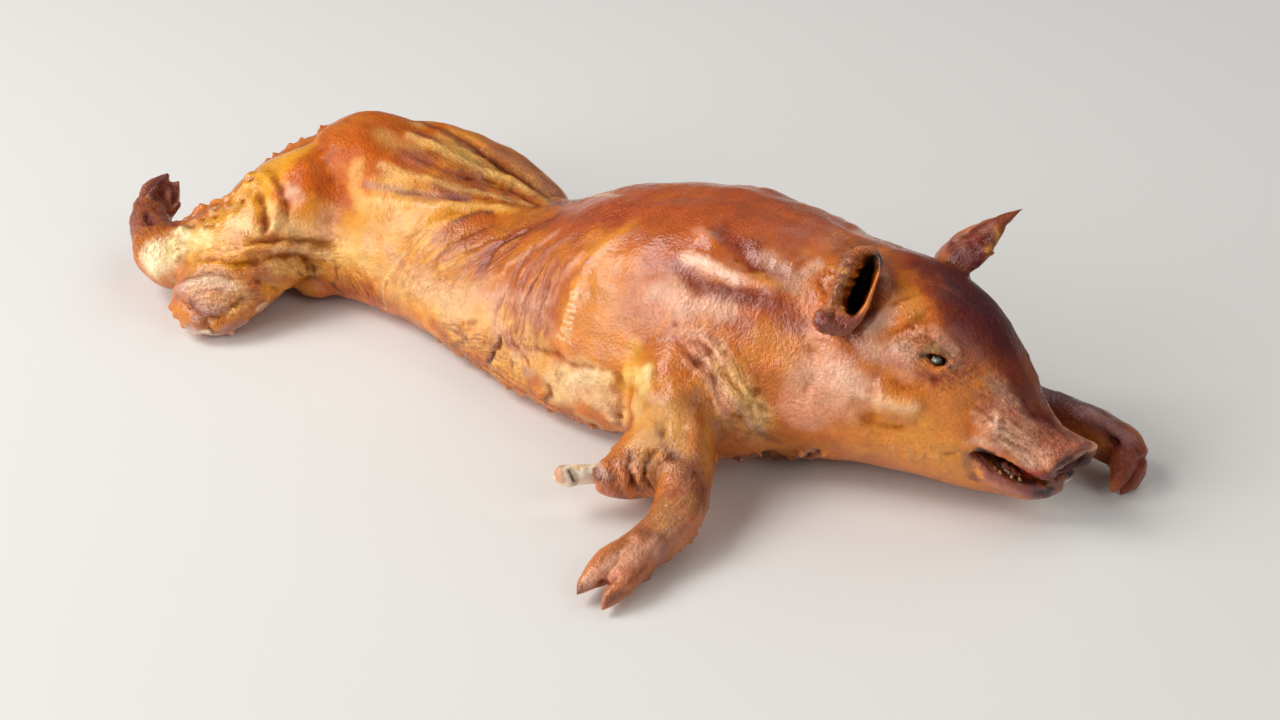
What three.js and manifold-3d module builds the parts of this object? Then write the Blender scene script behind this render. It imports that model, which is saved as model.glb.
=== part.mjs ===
// A whole roast suckling pig, lying on its belly with its legs spread, as closed solids.
// Millimetres, +Z up. While it is built, X = 0 is the middle of the nose disc, the nose points along +X,
// +Y is the pig's left, and Z = 0 is the table. The finished group is moved so that its origin is the
// bottom centre of its bounding box.
import * as THREE from 'three';
import { mergeVertices } from 'three/addons/utils/BufferGeometryUtils.js';
import Module from 'manifold-3d';

// Driving dimensions
const noseToRump = 620; // nose disc to the back of the rump
const backHeight = 152; // table to the top of the shoulders
const chestHalf = 92; // half the width of the chest
const shankRadius = 16; // a leg between the knee and the trotter
const earThickness = 5;
const eyeRadius = 6;
const seat = 0.35; // gap between a separate piece and the flesh round it

const wasm = await Module();
wasm.setup();

// ---------- surfaces and solids ----------

// A closed surface through rings of points. Each end is closed with a fan to its middle, or, when folded
// is true, with a strip that joins the first half of the ring to the second half.
function skinOver(rings, folded = false) {
  const sides = rings[0].length;
  const points = rings.flat();
  const faces = [];
  for (let r = 0; r + 1 < rings.length; r++) {
    for (let s = 0; s < sides; s++) {
      const a = r * sides + s;
      const b = r * sides + (s + 1) % sides;
      faces.push(a, b, b + sides, a, b + sides, a + sides);
    }
  }
  const closeEnd = (ring, flip) => {
    const first = ring * sides;
    const add = (a, b, c) => faces.push(...(flip ? [c, b, a] : [a, b, c]));
    if (folded) {
      for (let s = 0; s + 1 < sides / 2; s++) {
        const [near, far] = [first + s, first + sides - 1 - s];
        add(near + 1, near, far);
        add(near + 1, far, far - 1);
      }
      return;
    }
    const total = rings[ring].reduce((sum, p) => sum.add(p), new THREE.Vector3());
    const middle = points.push(total.divideScalar(sides)) - 1;
    for (let s = 0; s < sides; s++) add(middle, first + (s + 1) % sides, first + s);
  };
  closeEnd(0, false);
  closeEnd(rings.length - 1, true);
  const geometry = new THREE.BufferGeometry().setFromPoints(points);
  geometry.setIndex(faces);
  return geometry;
}

// A geometry as a manifold-3d solid, turned the right way out.
function solidFrom(geometry, matrix = new THREE.Matrix4()) {
  const bare = geometry.clone().applyMatrix4(matrix);
  bare.deleteAttribute('normal');
  bare.deleteAttribute('uv');
  const merged = mergeVertices(bare, 1e-4);
  const triVerts = new Uint32Array(merged.index.array);
  const meshOf = () => new wasm.Mesh({
    numProp: 3,
    vertProperties: merged.attributes.position.array,
    triVerts,
  });
  const solid = new wasm.Manifold(meshOf());
  if (solid.volume() > 0) return solid;
  for (let i = 0; i < triVerts.length; i += 3) {
    [triVerts[i + 1], triVerts[i + 2]] = [triVerts[i + 2], triVerts[i + 1]];
  }
  return new wasm.Manifold(meshOf());
}

// A manifold-3d solid as a three.js geometry.
function geometryFrom(solid) {
  const { numProp, vertProperties, triVerts, numVert } = solid.getMesh();
  const positions = new Float32Array(numVert * 3);
  for (let i = 0; i < numVert; i++) {
    positions.set(vertProperties.subarray(i * numProp, i * numProp + 3), i * 3);
  }
  const geometry = new THREE.BufferGeometry();
  geometry.setAttribute('position', new THREE.BufferAttribute(positions, 3));
  geometry.setIndex(new THREE.BufferAttribute(triVerts, 1));
  geometry.computeVertexNormals();
  return geometry;
}

const joined = (solids) => solids.reduce((sum, solid) => sum.add(solid));

// Catmull-Rom through one named value of a list of stations. t counts stations from 0.
function along(stations, key, t) {
  const i = Math.min(Math.floor(t), stations.length - 2);
  const f = t - i;
  const value = (n) => stations[Math.max(0, Math.min(stations.length - 1, n))][key];
  const [p0, p1, p2, p3] = [value(i - 1), value(i), value(i + 1), value(i + 2)];
  const m1 = (p2 - p0) / 2;
  const m2 = (p3 - p1) / 2;
  return (2 * f ** 3 - 3 * f ** 2 + 1) * p1 + (f ** 3 - 2 * f ** 2 + f) * m1
    + (3 * f ** 2 - 2 * f ** 3) * p2 + (f ** 3 - f ** 2) * m2;
}

// Places a rounded lump: radii along its own axes, turned by yaw about Z and then pitch about its own Y.
function lump([x, y, z], [rx, ry, rz], yaw = 0, pitch = 0, detail = 10) {
  const turn = new THREE.Matrix4().makeRotationFromEuler(
    new THREE.Euler(0, THREE.MathUtils.degToRad(pitch), THREE.MathUtils.degToRad(yaw), 'ZYX'),
  );
  const place = new THREE.Matrix4().makeTranslation(x, y, z)
    .multiply(turn)
    .multiply(new THREE.Matrix4().makeScale(rx, ry, rz));
  return solidFrom(new THREE.SphereGeometry(1, detail, Math.round(detail * 0.6)), place);
}

// ---------- trunk and head ----------

// Each station is one cut across the pig. topX, topZ is its crest and lowX, lowZ its keel, as shares of
// noseToRump behind the nose and of backHeight above the table. right and left are half widths and lean
// is how far the crest sits to the left, as shares of chestHalf. turn swings the cut towards the right,
// widest is how far up it the half widths lie, and round is 2 for an ellipse.
const stationKeys = ['topX', 'topZ', 'lowX', 'lowZ', 'right', 'left', 'lean', 'turn', 'widest', 'round'];
const trunk = [
  [-0.002, 0.366, 0.011, 0.200, 0.150, 0.150, 0.00, 0.42, 0.50, 2.1], // nose disc
  [-0.008, 0.392, 0.012, 0.175, 0.192, 0.205, 0.00, 0.42, 0.50, 2.2],
  [0.003, 0.392, 0.024, 0.120, 0.194, 0.202, 0.00, 0.36, 0.50, 2.1],
  [0.026, 0.425, 0.048, 0.062, 0.230, 0.230, 0.00, 0.16, 0.44, 2.1], // lips
  [0.050, 0.545, 0.074, 0.050, 0.300, 0.300, 0.00, 0.04, 0.42, 2.1],
  [0.076, 0.698, 0.098, 0.045, 0.385, 0.378, 0.00, 0.00, 0.42, 2.1],
  [0.108, 0.845, 0.128, 0.045, 0.480, 0.455, 0.00, 0.00, 0.43, 2.2], // eyes
  [0.155, 0.932, 0.165, 0.055, 0.590, 0.560, 0.00, 0.00, 0.43, 2.2],
  [0.212, 0.938, 0.212, 0.045, 0.690, 0.670, 0.04, 0.00, 0.42, 2.2], // ears
  [0.268, 0.940, 0.262, 0.015, 0.770, 0.770, 0.06, 0.00, 0.38, 2.2],
  [0.330, 0.978, 0.325, -0.03, 0.890, 0.880, 0.06, 0.00, 0.33, 2.3],
  [0.405, 0.988, 0.405, -0.05, 1.010, 0.960, 0.06, 0.00, 0.26, 2.3], // shoulders
  [0.480, 0.930, 0.480, -0.05, 1.080, 0.960, 0.06, 0.00, 0.20, 2.3],
  [0.560, 0.830, 0.560, -0.05, 1.010, 0.900, 0.08, 0.00, 0.20, 2.3],
  [0.640, 0.650, 0.640, -0.05, 0.875, 0.830, 0.10, 0.00, 0.24, 2.3],
  [0.715, 0.600, 0.715, -0.05, 0.770, 0.800, 0.14, 0.00, 0.30, 2.2], // waist
  [0.785, 0.680, 0.785, -0.05, 0.680, 0.780, 0.20, 0.00, 0.32, 2.2],
  [0.855, 0.770, 0.855, -0.05, 0.680, 0.740, 0.22, 0.00, 0.32, 2.2],
  [0.920, 0.820, 0.920, -0.05, 0.700, 0.720, 0.16, 0.00, 0.30, 2.2], // rump
  [0.968, 0.775, 0.968, -0.05, 0.640, 0.560, 0.08, 0.00, 0.30, 2.2],
  [0.992, 0.570, 0.992, 0.050, 0.420, 0.360, 0.04, 0.00, 0.34, 2.1],
].map((values) => Object.fromEntries(stationKeys.map((key, i) => [key, values[i]])));
const trunkSides = 22;
const ringsPerStation = 2;

function trunkRing(t) {
  const value = (key) => along(trunk, key, t);
  const top = new THREE.Vector3(-value('topX') * noseToRump, 0, value('topZ') * backHeight);
  const low = new THREE.Vector3(-value('lowX') * noseToRump, 0, value('lowZ') * backHeight);
  const height = top.distanceTo(low);
  const up = top.clone().sub(low).normalize();
  const middle = low.clone().lerp(top, value('widest'));
  const power = 2 / value('round');
  const ring = [];
  for (let s = 0; s < trunkSides; s++) {
    const angle = (2 * Math.PI * s) / trunkSides;
    const across = Math.cos(angle);
    const rise = Math.sin(angle);
    const half = chestHalf * (across > 0 ? value('left') : value('right'));
    const reach = height * (rise > 0 ? 1 - value('widest') : value('widest'));
    const point = middle.clone().addScaledVector(up, Math.sign(rise) * Math.abs(rise) ** power * reach);
    const climb = Math.max(0, point.clone().sub(middle).dot(up)) / height;
    point.y = Math.sign(across) * Math.abs(across) ** power * half + chestHalf * value('lean') * climb;
    point.x += point.y * value('turn');
    ring.push(point);
  }
  return ring;
}

function trunkSolid() {
  const rings = [];
  const last = (trunk.length - 1) * ringsPerStation;
  for (let r = 0; r <= last; r++) rings.push(trunkRing(r / ringsPerStation));
  return solidFrom(skinOver(rings));
}

// ---------- legs ----------

// A limb through stations [x, y, z, half width, half height], with sides corners on each ring.
function limb(stations, sides = 11, steps = 2) {
  const path = new THREE.CatmullRomCurve3(stations.map(([x, y, z]) => new THREE.Vector3(x, y, z)));
  const sizes = stations.map(([, , , wide, high]) => ({ wide, high }));
  const rings = [];
  const last = (stations.length - 1) * steps;
  for (let r = 0; r <= last; r++) {
    const t = r / steps;
    const at = path.getPoint(t / (stations.length - 1));
    const ahead = path.getTangent(t / (stations.length - 1));
    const side = new THREE.Vector3(0, 0, 1).cross(ahead).normalize();
    const up = ahead.clone().cross(side);
    const ring = [];
    for (let s = 0; s < sides; s++) {
      const angle = (2 * Math.PI * s) / sides;
      ring.push(at.clone()
        .addScaledVector(side, Math.cos(angle) * along(sizes, 'wide', t))
        .addScaledVector(up, Math.sin(angle) * along(sizes, 'high', t)));
    }
    rings.push(ring);
  }
  return solidFrom(skinOver(rings));
}

// Two toes and two dewclaws at the end of a leg. at is the fetlock, ahead points to the toes, and sole
// points to the side the foot would stand on. splay is how far each toe's tip stands from the middle of
// the foot, as a share of shankRadius.
function trotter(at, ahead, sole, length, splay = 0.4) {
  const forward = new THREE.Vector3(...ahead).normalize();
  const across = forward.clone().cross(new THREE.Vector3(...sole)).normalize();
  const under = across.clone().cross(forward).normalize();
  const start = new THREE.Vector3(...at);
  const pieces = [];
  for (const side of [-1, 1]) {
    const toe = (share, out, down) => start.clone()
      .addScaledVector(forward, length * share)
      .addScaledVector(across, side * out * shankRadius)
      .addScaledVector(under, down * shankRadius);
    const sized = (point, wide, high) => [point.x, point.y, point.z, wide * shankRadius, high * shankRadius];
    pieces.push(limb([
      sized(toe(-0.15, 0.30, 0), 0.30, 0.40),
      sized(toe(0.05, 0.38, 0), 0.55, 0.80),
      sized(toe(0.30, 0.44, 0), 0.54, 0.72),
      sized(toe(0.60, (0.44 + splay) / 2, 0.06), 0.42, 0.54),
      sized(toe(0.85, splay, 0.16), 0.24, 0.30),
      sized(toe(1.02, splay, 0.26), 0.05, 0.06),
    ], 8, 1));
    pieces.push(limb([
      sized(toe(-0.25, 0.50, 0.35), 0.20, 0.20),
      sized(toe(-0.12, 0.62, 0.80), 0.30, 0.30),
      sized(toe(0.10, 0.66, 1.12), 0.20, 0.20),
      sized(toe(0.22, 0.66, 1.25), 0.07, 0.07),
    ], 6, 1));
  }
  return joined(pieces);
}

const rightForeleg = () => joined([
  // upper arm and forearm, from the shoulder down to the knee
  limb([
    [-246, -30, 66, 12, 14],
    [-240, -62, 62, 29, 34],
    [-229, -90, 51, 29, 29],
    [-212, -112, 38, 25, 24],
    [-196, -132, 27, 20, 20],
    [-187, -148, 22, 17, 18],
    [-184, -168, 18, 15, 16],
    [-187, -186, 15, 14, 14],
    [-190, -204, 12, 15, 12],
    [-191, -212, 11, 8, 7],
  ]),
  // the elbow, pushed back, with the skin drawn up round it
  limb([
    [-214, -96, 34, 12, 12],
    [-221, -111, 31, 24, 24],
    [-228, -130, 26, 22, 22],
    [-235, -146, 24, 15, 15],
    [-240, -154, 25, 11, 11],
    [-243, -157, 25, 6, 6],
  ], 10),
  lump([-192, -78, 43], [34, 12, 28], 38), // the web of skin from the arm to the neck
  trotter([-188, -198, 14], [-0.03, -1, -0.1], [-0.15, 0, -1], 39, 0.56),
]);

const leftForeleg = () => joined([
  limb([
    [-235, 24, 56, 12, 14],
    [-212, 52, 50, 30, 34],
    [-168, 76, 36, 25, 27],
    [-122, 82, 27, 19, 20],
    [-80, 78, 23, 17, 17],
    [-44, 74, 24, 16, 16],
    [-10, 70, 24, 15, 16],
    [10, 66, 22, 14, 15],
    [18, 62, 19, 7, 8],
  ]),
  trotter([13, 63, 20], [0.12, -0.5, -0.45], [-0.95, 0.1, -0.3], 27),
]);

// A hind leg: thigh out to the knee, ham back to the hock, shank and foot turned in, and the lip where
// the skin ends. side is -1 for the right leg and 1 for the left.
function hindLeg(side, foot) {
  return joined([
    limb([
      [-596, side * 8, 62, 20, 24],
      [-606, side * 36, 58, 42, 44],
      [-609, side * 72, 46, 44, 38],
      [-610, side * 104, 31, 40, 30],
      [-606, side * 130, 20, 35, 22],
      [-603, side * 146, 14, 24, 15],
      [-602, side * 154, 12, 9, 6],
    ]),
    limb([
      [-545, side * 4, 60, 24, 24],
      [-588, side * 26, 62, 50, 50],
      [-620, side * 60, 46, 43, 38],
      [-646, side * 92, 34, 32, 28],
      ...foot.stations,
    ]),
    lump([-622, side * 76, 38], [54, 48, 36], side * -35), // the flesh between thigh and ham
    lump([-592, side * 40, 28], [44, 24, 29], side * 20), // the web of skin in the groin
    lump([-583, side * 53, 14], [30, 15, 14], side * 24), // and its lower edge
    limb(foot.lip, 8),
    trotter(...foot.trotter),
  ]);
}

const rightFoot = {
  stations: [
    [-664, -116, 33, 23, 24],
    [-692, -104, 33, 19, 19],
    [-720, -85, 34, 16, 16],
    [-735, -67, 38, 13, 13],
    [-737, -58, 42, 6, 6],
  ],
  lip: [
    [-598, 8, 106, 9, 9],
    [-626, -9, 92, 8, 8],
    [-644, -24, 76, 9, 9],
    [-656, -38, 61, 9, 9],
    [-667, -56, 49, 9, 9],
    [-682, -78, 40, 8, 8],
    [-688, -92, 36, 4, 4],
  ],
  trotter: [[-733, -67, 37], [-0.2, 0.87, 0.45], [0.8, -0.1, 0.55], 28, 0.3],
};
const leftFoot = {
  stations: [
    [-664, 112, 30, 23, 24],
    [-688, 100, 27, 18, 19],
    [-704, 82, 23, 15, 16],
    [-711, 62, 19, 13, 13],
    [-712, 54, 17, 6, 6],
  ],
  lip: [
    [-592, 20, 100, 9, 9],
    [-618, 24, 86, 8, 8],
    [-636, 34, 72, 9, 9],
    [-648, 48, 58, 9, 9],
    [-660, 64, 47, 9, 9],
    [-674, 82, 38, 8, 8],
    [-680, 94, 34, 4, 4],
  ],
  trotter: [[-711, 64, 18], [0.05, -0.98, -0.1], [0.5, 0.1, 0.8], 30],
};

// ---------- ears ----------

// A cupped leaf: a sheet of one thickness round a midrib. root is where the midrib leaves the head, tip
// where it ends and open is the way the hollow faces. bend pushes the middle of the midrib that way,
// blunt is the width left at the end, point how much of the length is a point beyond it, and droop how
// far one corner of the end hangs down.
function ear({ root, tip, open, wide, cup, bend, blunt, point, droop }) {
  const rows = 7;
  const columns = 8;
  const start = new THREE.Vector3(...root);
  const ridge = new THREE.Vector3(...tip).sub(start);
  const face = new THREE.Vector3(...open).normalize();
  const across = ridge.clone().normalize().cross(face).normalize();
  const place = (row, column, depth) => {
    const u = row / rows;
    const v = (2 * column) / columns - 1;
    const half = wide * (0.85 + 0.5 * u - (1.35 - blunt) * u * u) + 1.2;
    const radius = Math.max(half / cup, 1.5 * earThickness);
    const turn = (v * half * (1 - 0.2 * u)) / radius;
    const reach = 1 - point * (1 - (1 - Math.abs(v)) ** 2);
    const hang = droop * u * u * Math.max(0, -v);
    const rise = (radius - depth) * (1 - Math.cos(turn)) + depth + bend * Math.sin(Math.PI * u);
    return start.clone()
      .addScaledVector(ridge, u * reach)
      .addScaledVector(across, (radius - depth) * Math.sin(turn) - hang)
      .addScaledVector(face, rise);
  };
  // once round the leaf's cut: out along the back of the sheet and home along its hollow side
  const rings = [];
  for (let row = 0; row <= rows; row++) {
    const ring = [];
    for (let c = 0; c <= columns; c++) ring.push(place(row, c, 0));
    for (let c = columns; c >= 0; c--) ring.push(place(row, c, earThickness * (1 - 0.45 * (row / rows))));
    rings.push(ring);
  }
  return solidFrom(skinOver(rings, true));
}

// The right ear: a thick-edged cup, drawn as seen looking straight into it. Across is towards the snout
// and up is towards the crest, both measured from the middle of the ear. The edge and the hollow are
// smooth closed lines through as many points as each other, so that one can be blended into the other.
const cup = {
  middle: [-123, -38, 147],
  faces: [0.4, -0.68, 0.61],
  edge: [[-9, 23.5], [0, 23], [5, 13], [1, 0], [-4, -18], [-15, -32], [-31, -33], [-36, -23], [-25, -5],
    [-23, 14]],
  hollow: [[-5, 17], [1, 17], [1, 8], [-2, -3], [-8, -17], [-14, -21.5], [-18, -17], [-19, -9], [-15, 2],
    [-10, 11]],
  corners: 16,
};

function rightEar(part) {
  const middle = new THREE.Vector3(...cup.middle);
  const faces = new THREE.Vector3(...cup.faces).normalize();
  const across = new THREE.Vector3(0, 0, 1).cross(faces).normalize();
  const up = faces.clone().cross(across);
  const root = new THREE.Vector3(-6, -3, 0); // the rings shrink towards this point
  const outlineOf = (points) => new THREE.CatmullRomCurve3(
    points.map(([x, y]) => new THREE.Vector3(x, y, 0)),
    true,
    'catmullrom',
  ).getPoints(cup.corners).slice(0, -1);
  const edge = outlineOf(cup.edge);
  const hollow = outlineOf(cup.hollow);
  // one ring: an outline shrunk about the root, or blended towards the hollow
  const ring = (outline, depth, size, blend = 0) => outline.map((point, i) => {
    const flat = point.clone().lerp(hollow[i], blend).sub(root).multiplyScalar(size).add(root);
    return middle.clone()
      .addScaledVector(across, flat.x)
      .addScaledVector(up, flat.y)
      .addScaledVector(faces, depth);
  });
  if (part === 'hollow') {
    return solidFrom(skinOver([
      ring(hollow, 14, 1.1), ring(hollow, 3, 1.04), ring(hollow, -3, 0.98), ring(hollow, -11, 0.82),
      ring(hollow, -19, 0.5),
    ]));
  }
  return solidFrom(skinOver([
    ring(edge, -34, 0.4), ring(edge, -24, 0.62), ring(edge, -14, 0.78), ring(edge, -7, 0.9),
    ring(edge, -2.5, 0.98), ring(edge, 0.8, 1, 0.04), ring(edge, 3.6, 1, 0.22), ring(edge, 4.8, 1, 0.5),
    ring(edge, 3.8, 1, 0.8), ring(edge, 1, 1, 1),
  ]));
}

const leftEar = () => ear({
  root: [-120, 36, 130],
  tip: [-77, 73, 167],
  open: [0.42, 0.4, -0.78],
  wide: 28,
  cup: 1.15,
  bend: -5,
  blunt: 0.34,
  point: 0.38,
  droop: 2,
});

// the crumpled inner edge of the left ear, rolled forward
const leftEarRoll = () => limb([
  [-89, 58, 157, 2.4, 2.4],
  [-88, 53, 153, 4.0, 3.2],
  [-89, 48, 148, 4.4, 3.4],
  [-88, 43, 143, 4.6, 3.6],
  [-91, 39, 138, 4.4, 3.6],
  [-95, 35, 132, 4.6, 4.0],
], 8);

// ---------- face ----------

// Edges of the gape seen from the side, from the corner of the mouth to the front: X and Z.
const gape = {
  corner: [-56, 48.5],
  upper: [[-51, 51.5], [-40, 49.5], [-26, 42], [-9, 35.5], [9, 31.5]],
  lower: [[-50, 43], [-38, 33], [-26, 30], [-9, 29.5], [9, 27.5]],
  thin: 3.6, // height of the part that goes right through, over the tongue
  tongue: 7, // half the width of what is left between the jaws
};

// A slab across the jaws between two smooth edges drawn in X and Z from the corner of the mouth.
function slabAcross(upper, lower, fromY, toY) {
  const points = (edge) => edge.map((p) => new THREE.Vector2(...p));
  const outline = new THREE.Shape()
    .moveTo(...gape.corner)
    .splineThru(points(upper))
    .lineTo(...lower.at(-1))
    .splineThru(points([...lower.slice(0, -1).reverse(), gape.corner]));
  const depth = toY - fromY;
  const slab = new THREE.ExtrudeGeometry(outline, { depth, bevelEnabled: false, curveSegments: 2 });
  return solidFrom(slab, new THREE.Matrix4().makeRotationX(Math.PI / 2).setPosition(0, toY, 0));
}

// The mouth: open at both sides, with only a thin gap over the tongue in the middle.
function mouthGape() {
  const { upper, lower, thin, tongue } = gape;
  const cheek = 60; // past the side of the head
  const overTongue = upper.map(([x, z]) => [x, z - thin]);
  return joined([
    slabAcross(upper, lower, -cheek, -tongue),
    slabAcross(upper, lower, tongue, cheek),
    slabAcross(upper, overTongue, -tongue - 1, tongue + 1),
  ]);
}

const eyeCentres = { right: [-82, -32, 104.5], left: [-82, 31, 104.5] };

function headCuts() {
  const cuts = [mouthGape(), rightEar('hollow')];
  for (const side of [-1, 1]) {
    cuts.push(lump([1 + side * 3, side * 7, 41], [9, 3.4, 5.2], -22, 18)); // nostril
    cuts.push(lump([-79, side * 39, 107.5], [9, 9, 4.2], side * 14, 20)); // between the eyelids
  }
  return joined(cuts);
}

// ---------- assembly ----------

// the bare bone of the right elbow, from where the skin has drawn back to its knob
const boneEnds = { root: [-246, -151, 25], tip: [-262, -173, 29] };

function elbowBone(grow = 0) {
  const [a, b] = [new THREE.Vector3(...boneEnds.root), new THREE.Vector3(...boneEnds.tip)];
  const at = (t) => a.clone().lerp(b, t);
  const length = a.distanceTo(b);
  const station = (t, wide, high) => [...at(t).toArray(), wide + grow, high + grow];
  return limb([
    station(-0.35 - grow / length, 5.6, 5.6),
    station(0.0, 6.6, 6.6),
    station(0.45, 6.6, 6.4),
    station(0.7, 7.6, 7.2),
    station(0.9, 6.0, 5.6),
    station(1.0, 2.4, 2.4),
  ], 10);
}

function eyeball(side, grow = 0) {
  const [x, y, z] = eyeCentres[side];
  const r = eyeRadius + grow;
  return lump([x, y, z], [r, r, r]);
}

function carcass() {
  const flesh = joined([
    trunkSolid(),
    rightForeleg(),
    leftForeleg(),
    hindLeg(-1, rightFoot),
    hindLeg(1, leftFoot),
    limb([[-588, 4, 98, 10, 10], [-603, 0, 109, 6, 6], [-612, -4, 116, 2, 2]], 8), // stub of the tail
    rightEar('flesh'),
    leftEar(),
    leftEarRoll(),
    lump([-26, 0, 20], [21, 17.5, 9.2], 0, -15), // lower lip
    // the left flank, gathered up beside the spine
    limb([
      [-590, 22, 84, 20, 20],
      [-560, 34, 80, 34, 36],
      [-520, 46, 72, 36, 42],
      [-480, 56, 61, 30, 40],
      [-446, 58, 50, 24, 36],
      [-420, 56, 36, 12, 16],
    ]),
    lump([-178, -26, 24], [46, 30, 22], 8), // the chest between the forelegs
    lump([-178, 26, 24], [46, 30, 22], -8),
  ]);
  const table = solidFrom(
    new THREE.BoxGeometry(2000, 2000, 200),
    new THREE.Matrix4().makeTranslation(0, 0, -100),
  );
  // chips that the cuts leave loose are dropped: the largest piece is the pig
  const pieces = flesh.subtract(headCuts())
    .subtract(elbowBone(seat))
    .subtract(eyeball('right', seat))
    .subtract(eyeball('left', seat))
    .subtract(table)
    .decompose();
  return pieces.sort((a, b) => b.volume() - a.volume())[0];
}

const roastSkin = new THREE.MeshStandardMaterial({ color: 0xc0682c, roughness: 0.38, metalness: 0 });
const bareBone = new THREE.MeshStandardMaterial({ color: 0xe6cf9c, roughness: 0.5, metalness: 0 });
const cloudyEye = new THREE.MeshStandardMaterial({ color: 0x6c6a58, roughness: 0.2, metalness: 0 });

function node(name, solid, material) {
  const mesh = new THREE.Mesh(geometryFrom(solid), material);
  mesh.name = name;
  return mesh;
}

const pig = new THREE.Group();
pig.add(
  node('carcass', carcass(), roastSkin),
  node('elbow_bone', elbowBone(), bareBone),
  node('eye_right', eyeball('right'), cloudyEye),
  node('eye_left', eyeball('left'), cloudyEye),
);

// the origin goes to the bottom centre of the bounding box
const bounds = new THREE.Box3().setFromObject(pig, true);
pig.position.set(
  -(bounds.min.x + bounds.max.x) / 2,
  -(bounds.min.y + bounds.max.y) / 2,
  -bounds.min.z,
);
pig.updateMatrixWorld(true);

export default pig;
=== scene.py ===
import math

import bmesh
import bpy
import numpy as np
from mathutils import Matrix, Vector
from mathutils.bvhtree import BVHTree
from mathutils.kdtree import KDTree


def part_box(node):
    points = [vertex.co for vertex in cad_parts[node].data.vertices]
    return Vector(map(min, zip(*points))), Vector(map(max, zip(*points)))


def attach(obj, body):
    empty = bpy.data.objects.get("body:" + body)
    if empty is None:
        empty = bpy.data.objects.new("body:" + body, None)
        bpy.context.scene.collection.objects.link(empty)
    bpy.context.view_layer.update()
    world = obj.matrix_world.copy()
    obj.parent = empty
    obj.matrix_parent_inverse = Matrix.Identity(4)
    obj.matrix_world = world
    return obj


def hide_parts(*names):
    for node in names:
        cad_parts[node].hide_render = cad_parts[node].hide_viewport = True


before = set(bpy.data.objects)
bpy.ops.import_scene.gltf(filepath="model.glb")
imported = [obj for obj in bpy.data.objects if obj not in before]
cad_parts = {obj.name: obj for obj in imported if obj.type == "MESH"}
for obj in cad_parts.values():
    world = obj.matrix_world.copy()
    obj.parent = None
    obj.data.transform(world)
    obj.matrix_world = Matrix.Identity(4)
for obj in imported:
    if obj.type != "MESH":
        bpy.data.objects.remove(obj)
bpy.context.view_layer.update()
print("frame loaded:", ", ".join(sorted(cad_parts)))

# Shapes are worked in millimetres from the middle of the snout disc at table height: x forward, y to
# the pig's left, z up. The right eye tells where that point is in the frame.
eyeLow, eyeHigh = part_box("eye_right")
snoutOrigin = np.array((eyeLow + eyeHigh) / 2) - np.array((-0.082, -0.032, 0.1045))

# The view of the pig. Places on its skin are named by where they show in this view, as x and y from
# the left and the top of its frame. A place with three numbers is in millimetres from the snout.
view = {
    "camera": (292.1, -873.3, 647.3), "lookAt": (-273.2, -65.8, 55),
    "lens": 50, "sensor": 36, "wide": 1280, "high": 720,
}


def toSnout(places):
    return (np.asarray(places, float) - snoutOrigin) * 1000


def inFrame(places):
    return np.asarray(places, float) / 1000 + snoutOrigin


def sightLine(x, y):
    # the line of sight through one place in the view: where it starts and which way it goes
    forward = (Vector(view["lookAt"]) - Vector(view["camera"])).normalized()
    right = forward.cross(Vector((0, 0, 1))).normalized()
    up = right.cross(forward)
    pixel = view["sensor"] / view["lens"] / view["wide"]
    way = forward + pixel * ((x - view["wide"] / 2) * right - (y - view["high"] / 2) * up)
    return Vector(view["camera"]), way.normalized()


def toLinear(hexColour):
    parts = [int(hexColour[i:i + 2], 16) / 255 for i in (1, 3, 5)]
    return np.array([c / 12.92 if c <= 0.04045 else ((c + 0.055) / 1.055) ** 2.4 for c in parts])


def addNode(tree, kind, feeds=None, **settings):
    # feeds are constants, sockets, or whole nodes, which give their first output
    node = tree.nodes.new("ShaderNode" + kind)
    for name, value in settings.items():
        setattr(node, name, value)
    for socket, value in (feeds or {}).items():
        if isinstance(value, bpy.types.Node):
            value = value.outputs[0]
        if isinstance(value, bpy.types.NodeSocket):
            tree.links.new(value, node.inputs[socket])
        else:
            node.inputs[socket].default_value = value
    return node


def newMaterial(name):
    # an empty material, and what each one starts from: places on the piece and its painted tone
    material = bpy.data.materials.new(name)
    material.use_nodes = True
    tree = material.node_tree
    tree.nodes.clear()
    at = addNode(tree, "TexCoord").outputs["Object"]
    tone = addNode(tree, "Attribute", attribute_name="roastTone").outputs["Color"]
    return material, tree, at, tone


def addObject(name, data):
    made = bpy.data.objects.new(name, data)
    bpy.context.scene.collection.objects.link(made)
    return made


def settle(piece):
    # bake the piece's modifiers into its mesh
    shown = piece.evaluated_get(bpy.context.evaluated_depsgraph_get())
    mesh = bpy.data.meshes.new_from_object(shown)
    piece.modifiers.clear()
    piece.data = mesh
    mesh.name = piece.name
    return mesh


def readPoints(mesh):
    points = np.empty(len(mesh.vertices) * 3)
    mesh.vertices.foreach_get("co", points)
    return toSnout(points.reshape(-1, 3))


def readNormals(mesh):
    normals = np.empty(len(mesh.vertices) * 3)
    mesh.vertex_normals.foreach_get("vector", normals)
    return normals.reshape(-1, 3)


def writePoints(mesh, points):
    mesh.vertices.foreach_set("co", inFrame(points).ravel())
    mesh.update()


def raised(mesh, points, lift):
    # the mesh's points moved out by lift, in mm
    points = points + readNormals(mesh) * lift[:, None]
    writePoints(mesh, points)
    return points


def writeNumbers(mesh, name, kind, values):
    # one value for each point of the mesh, for a material to read
    kept = mesh.attributes.new(name, kind, "POINT")
    socket = {"FLOAT": "value", "FLOAT_VECTOR": "vector", "FLOAT_COLOR": "color"}[kind]
    kept.data.foreach_set(socket, values.ravel())


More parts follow.
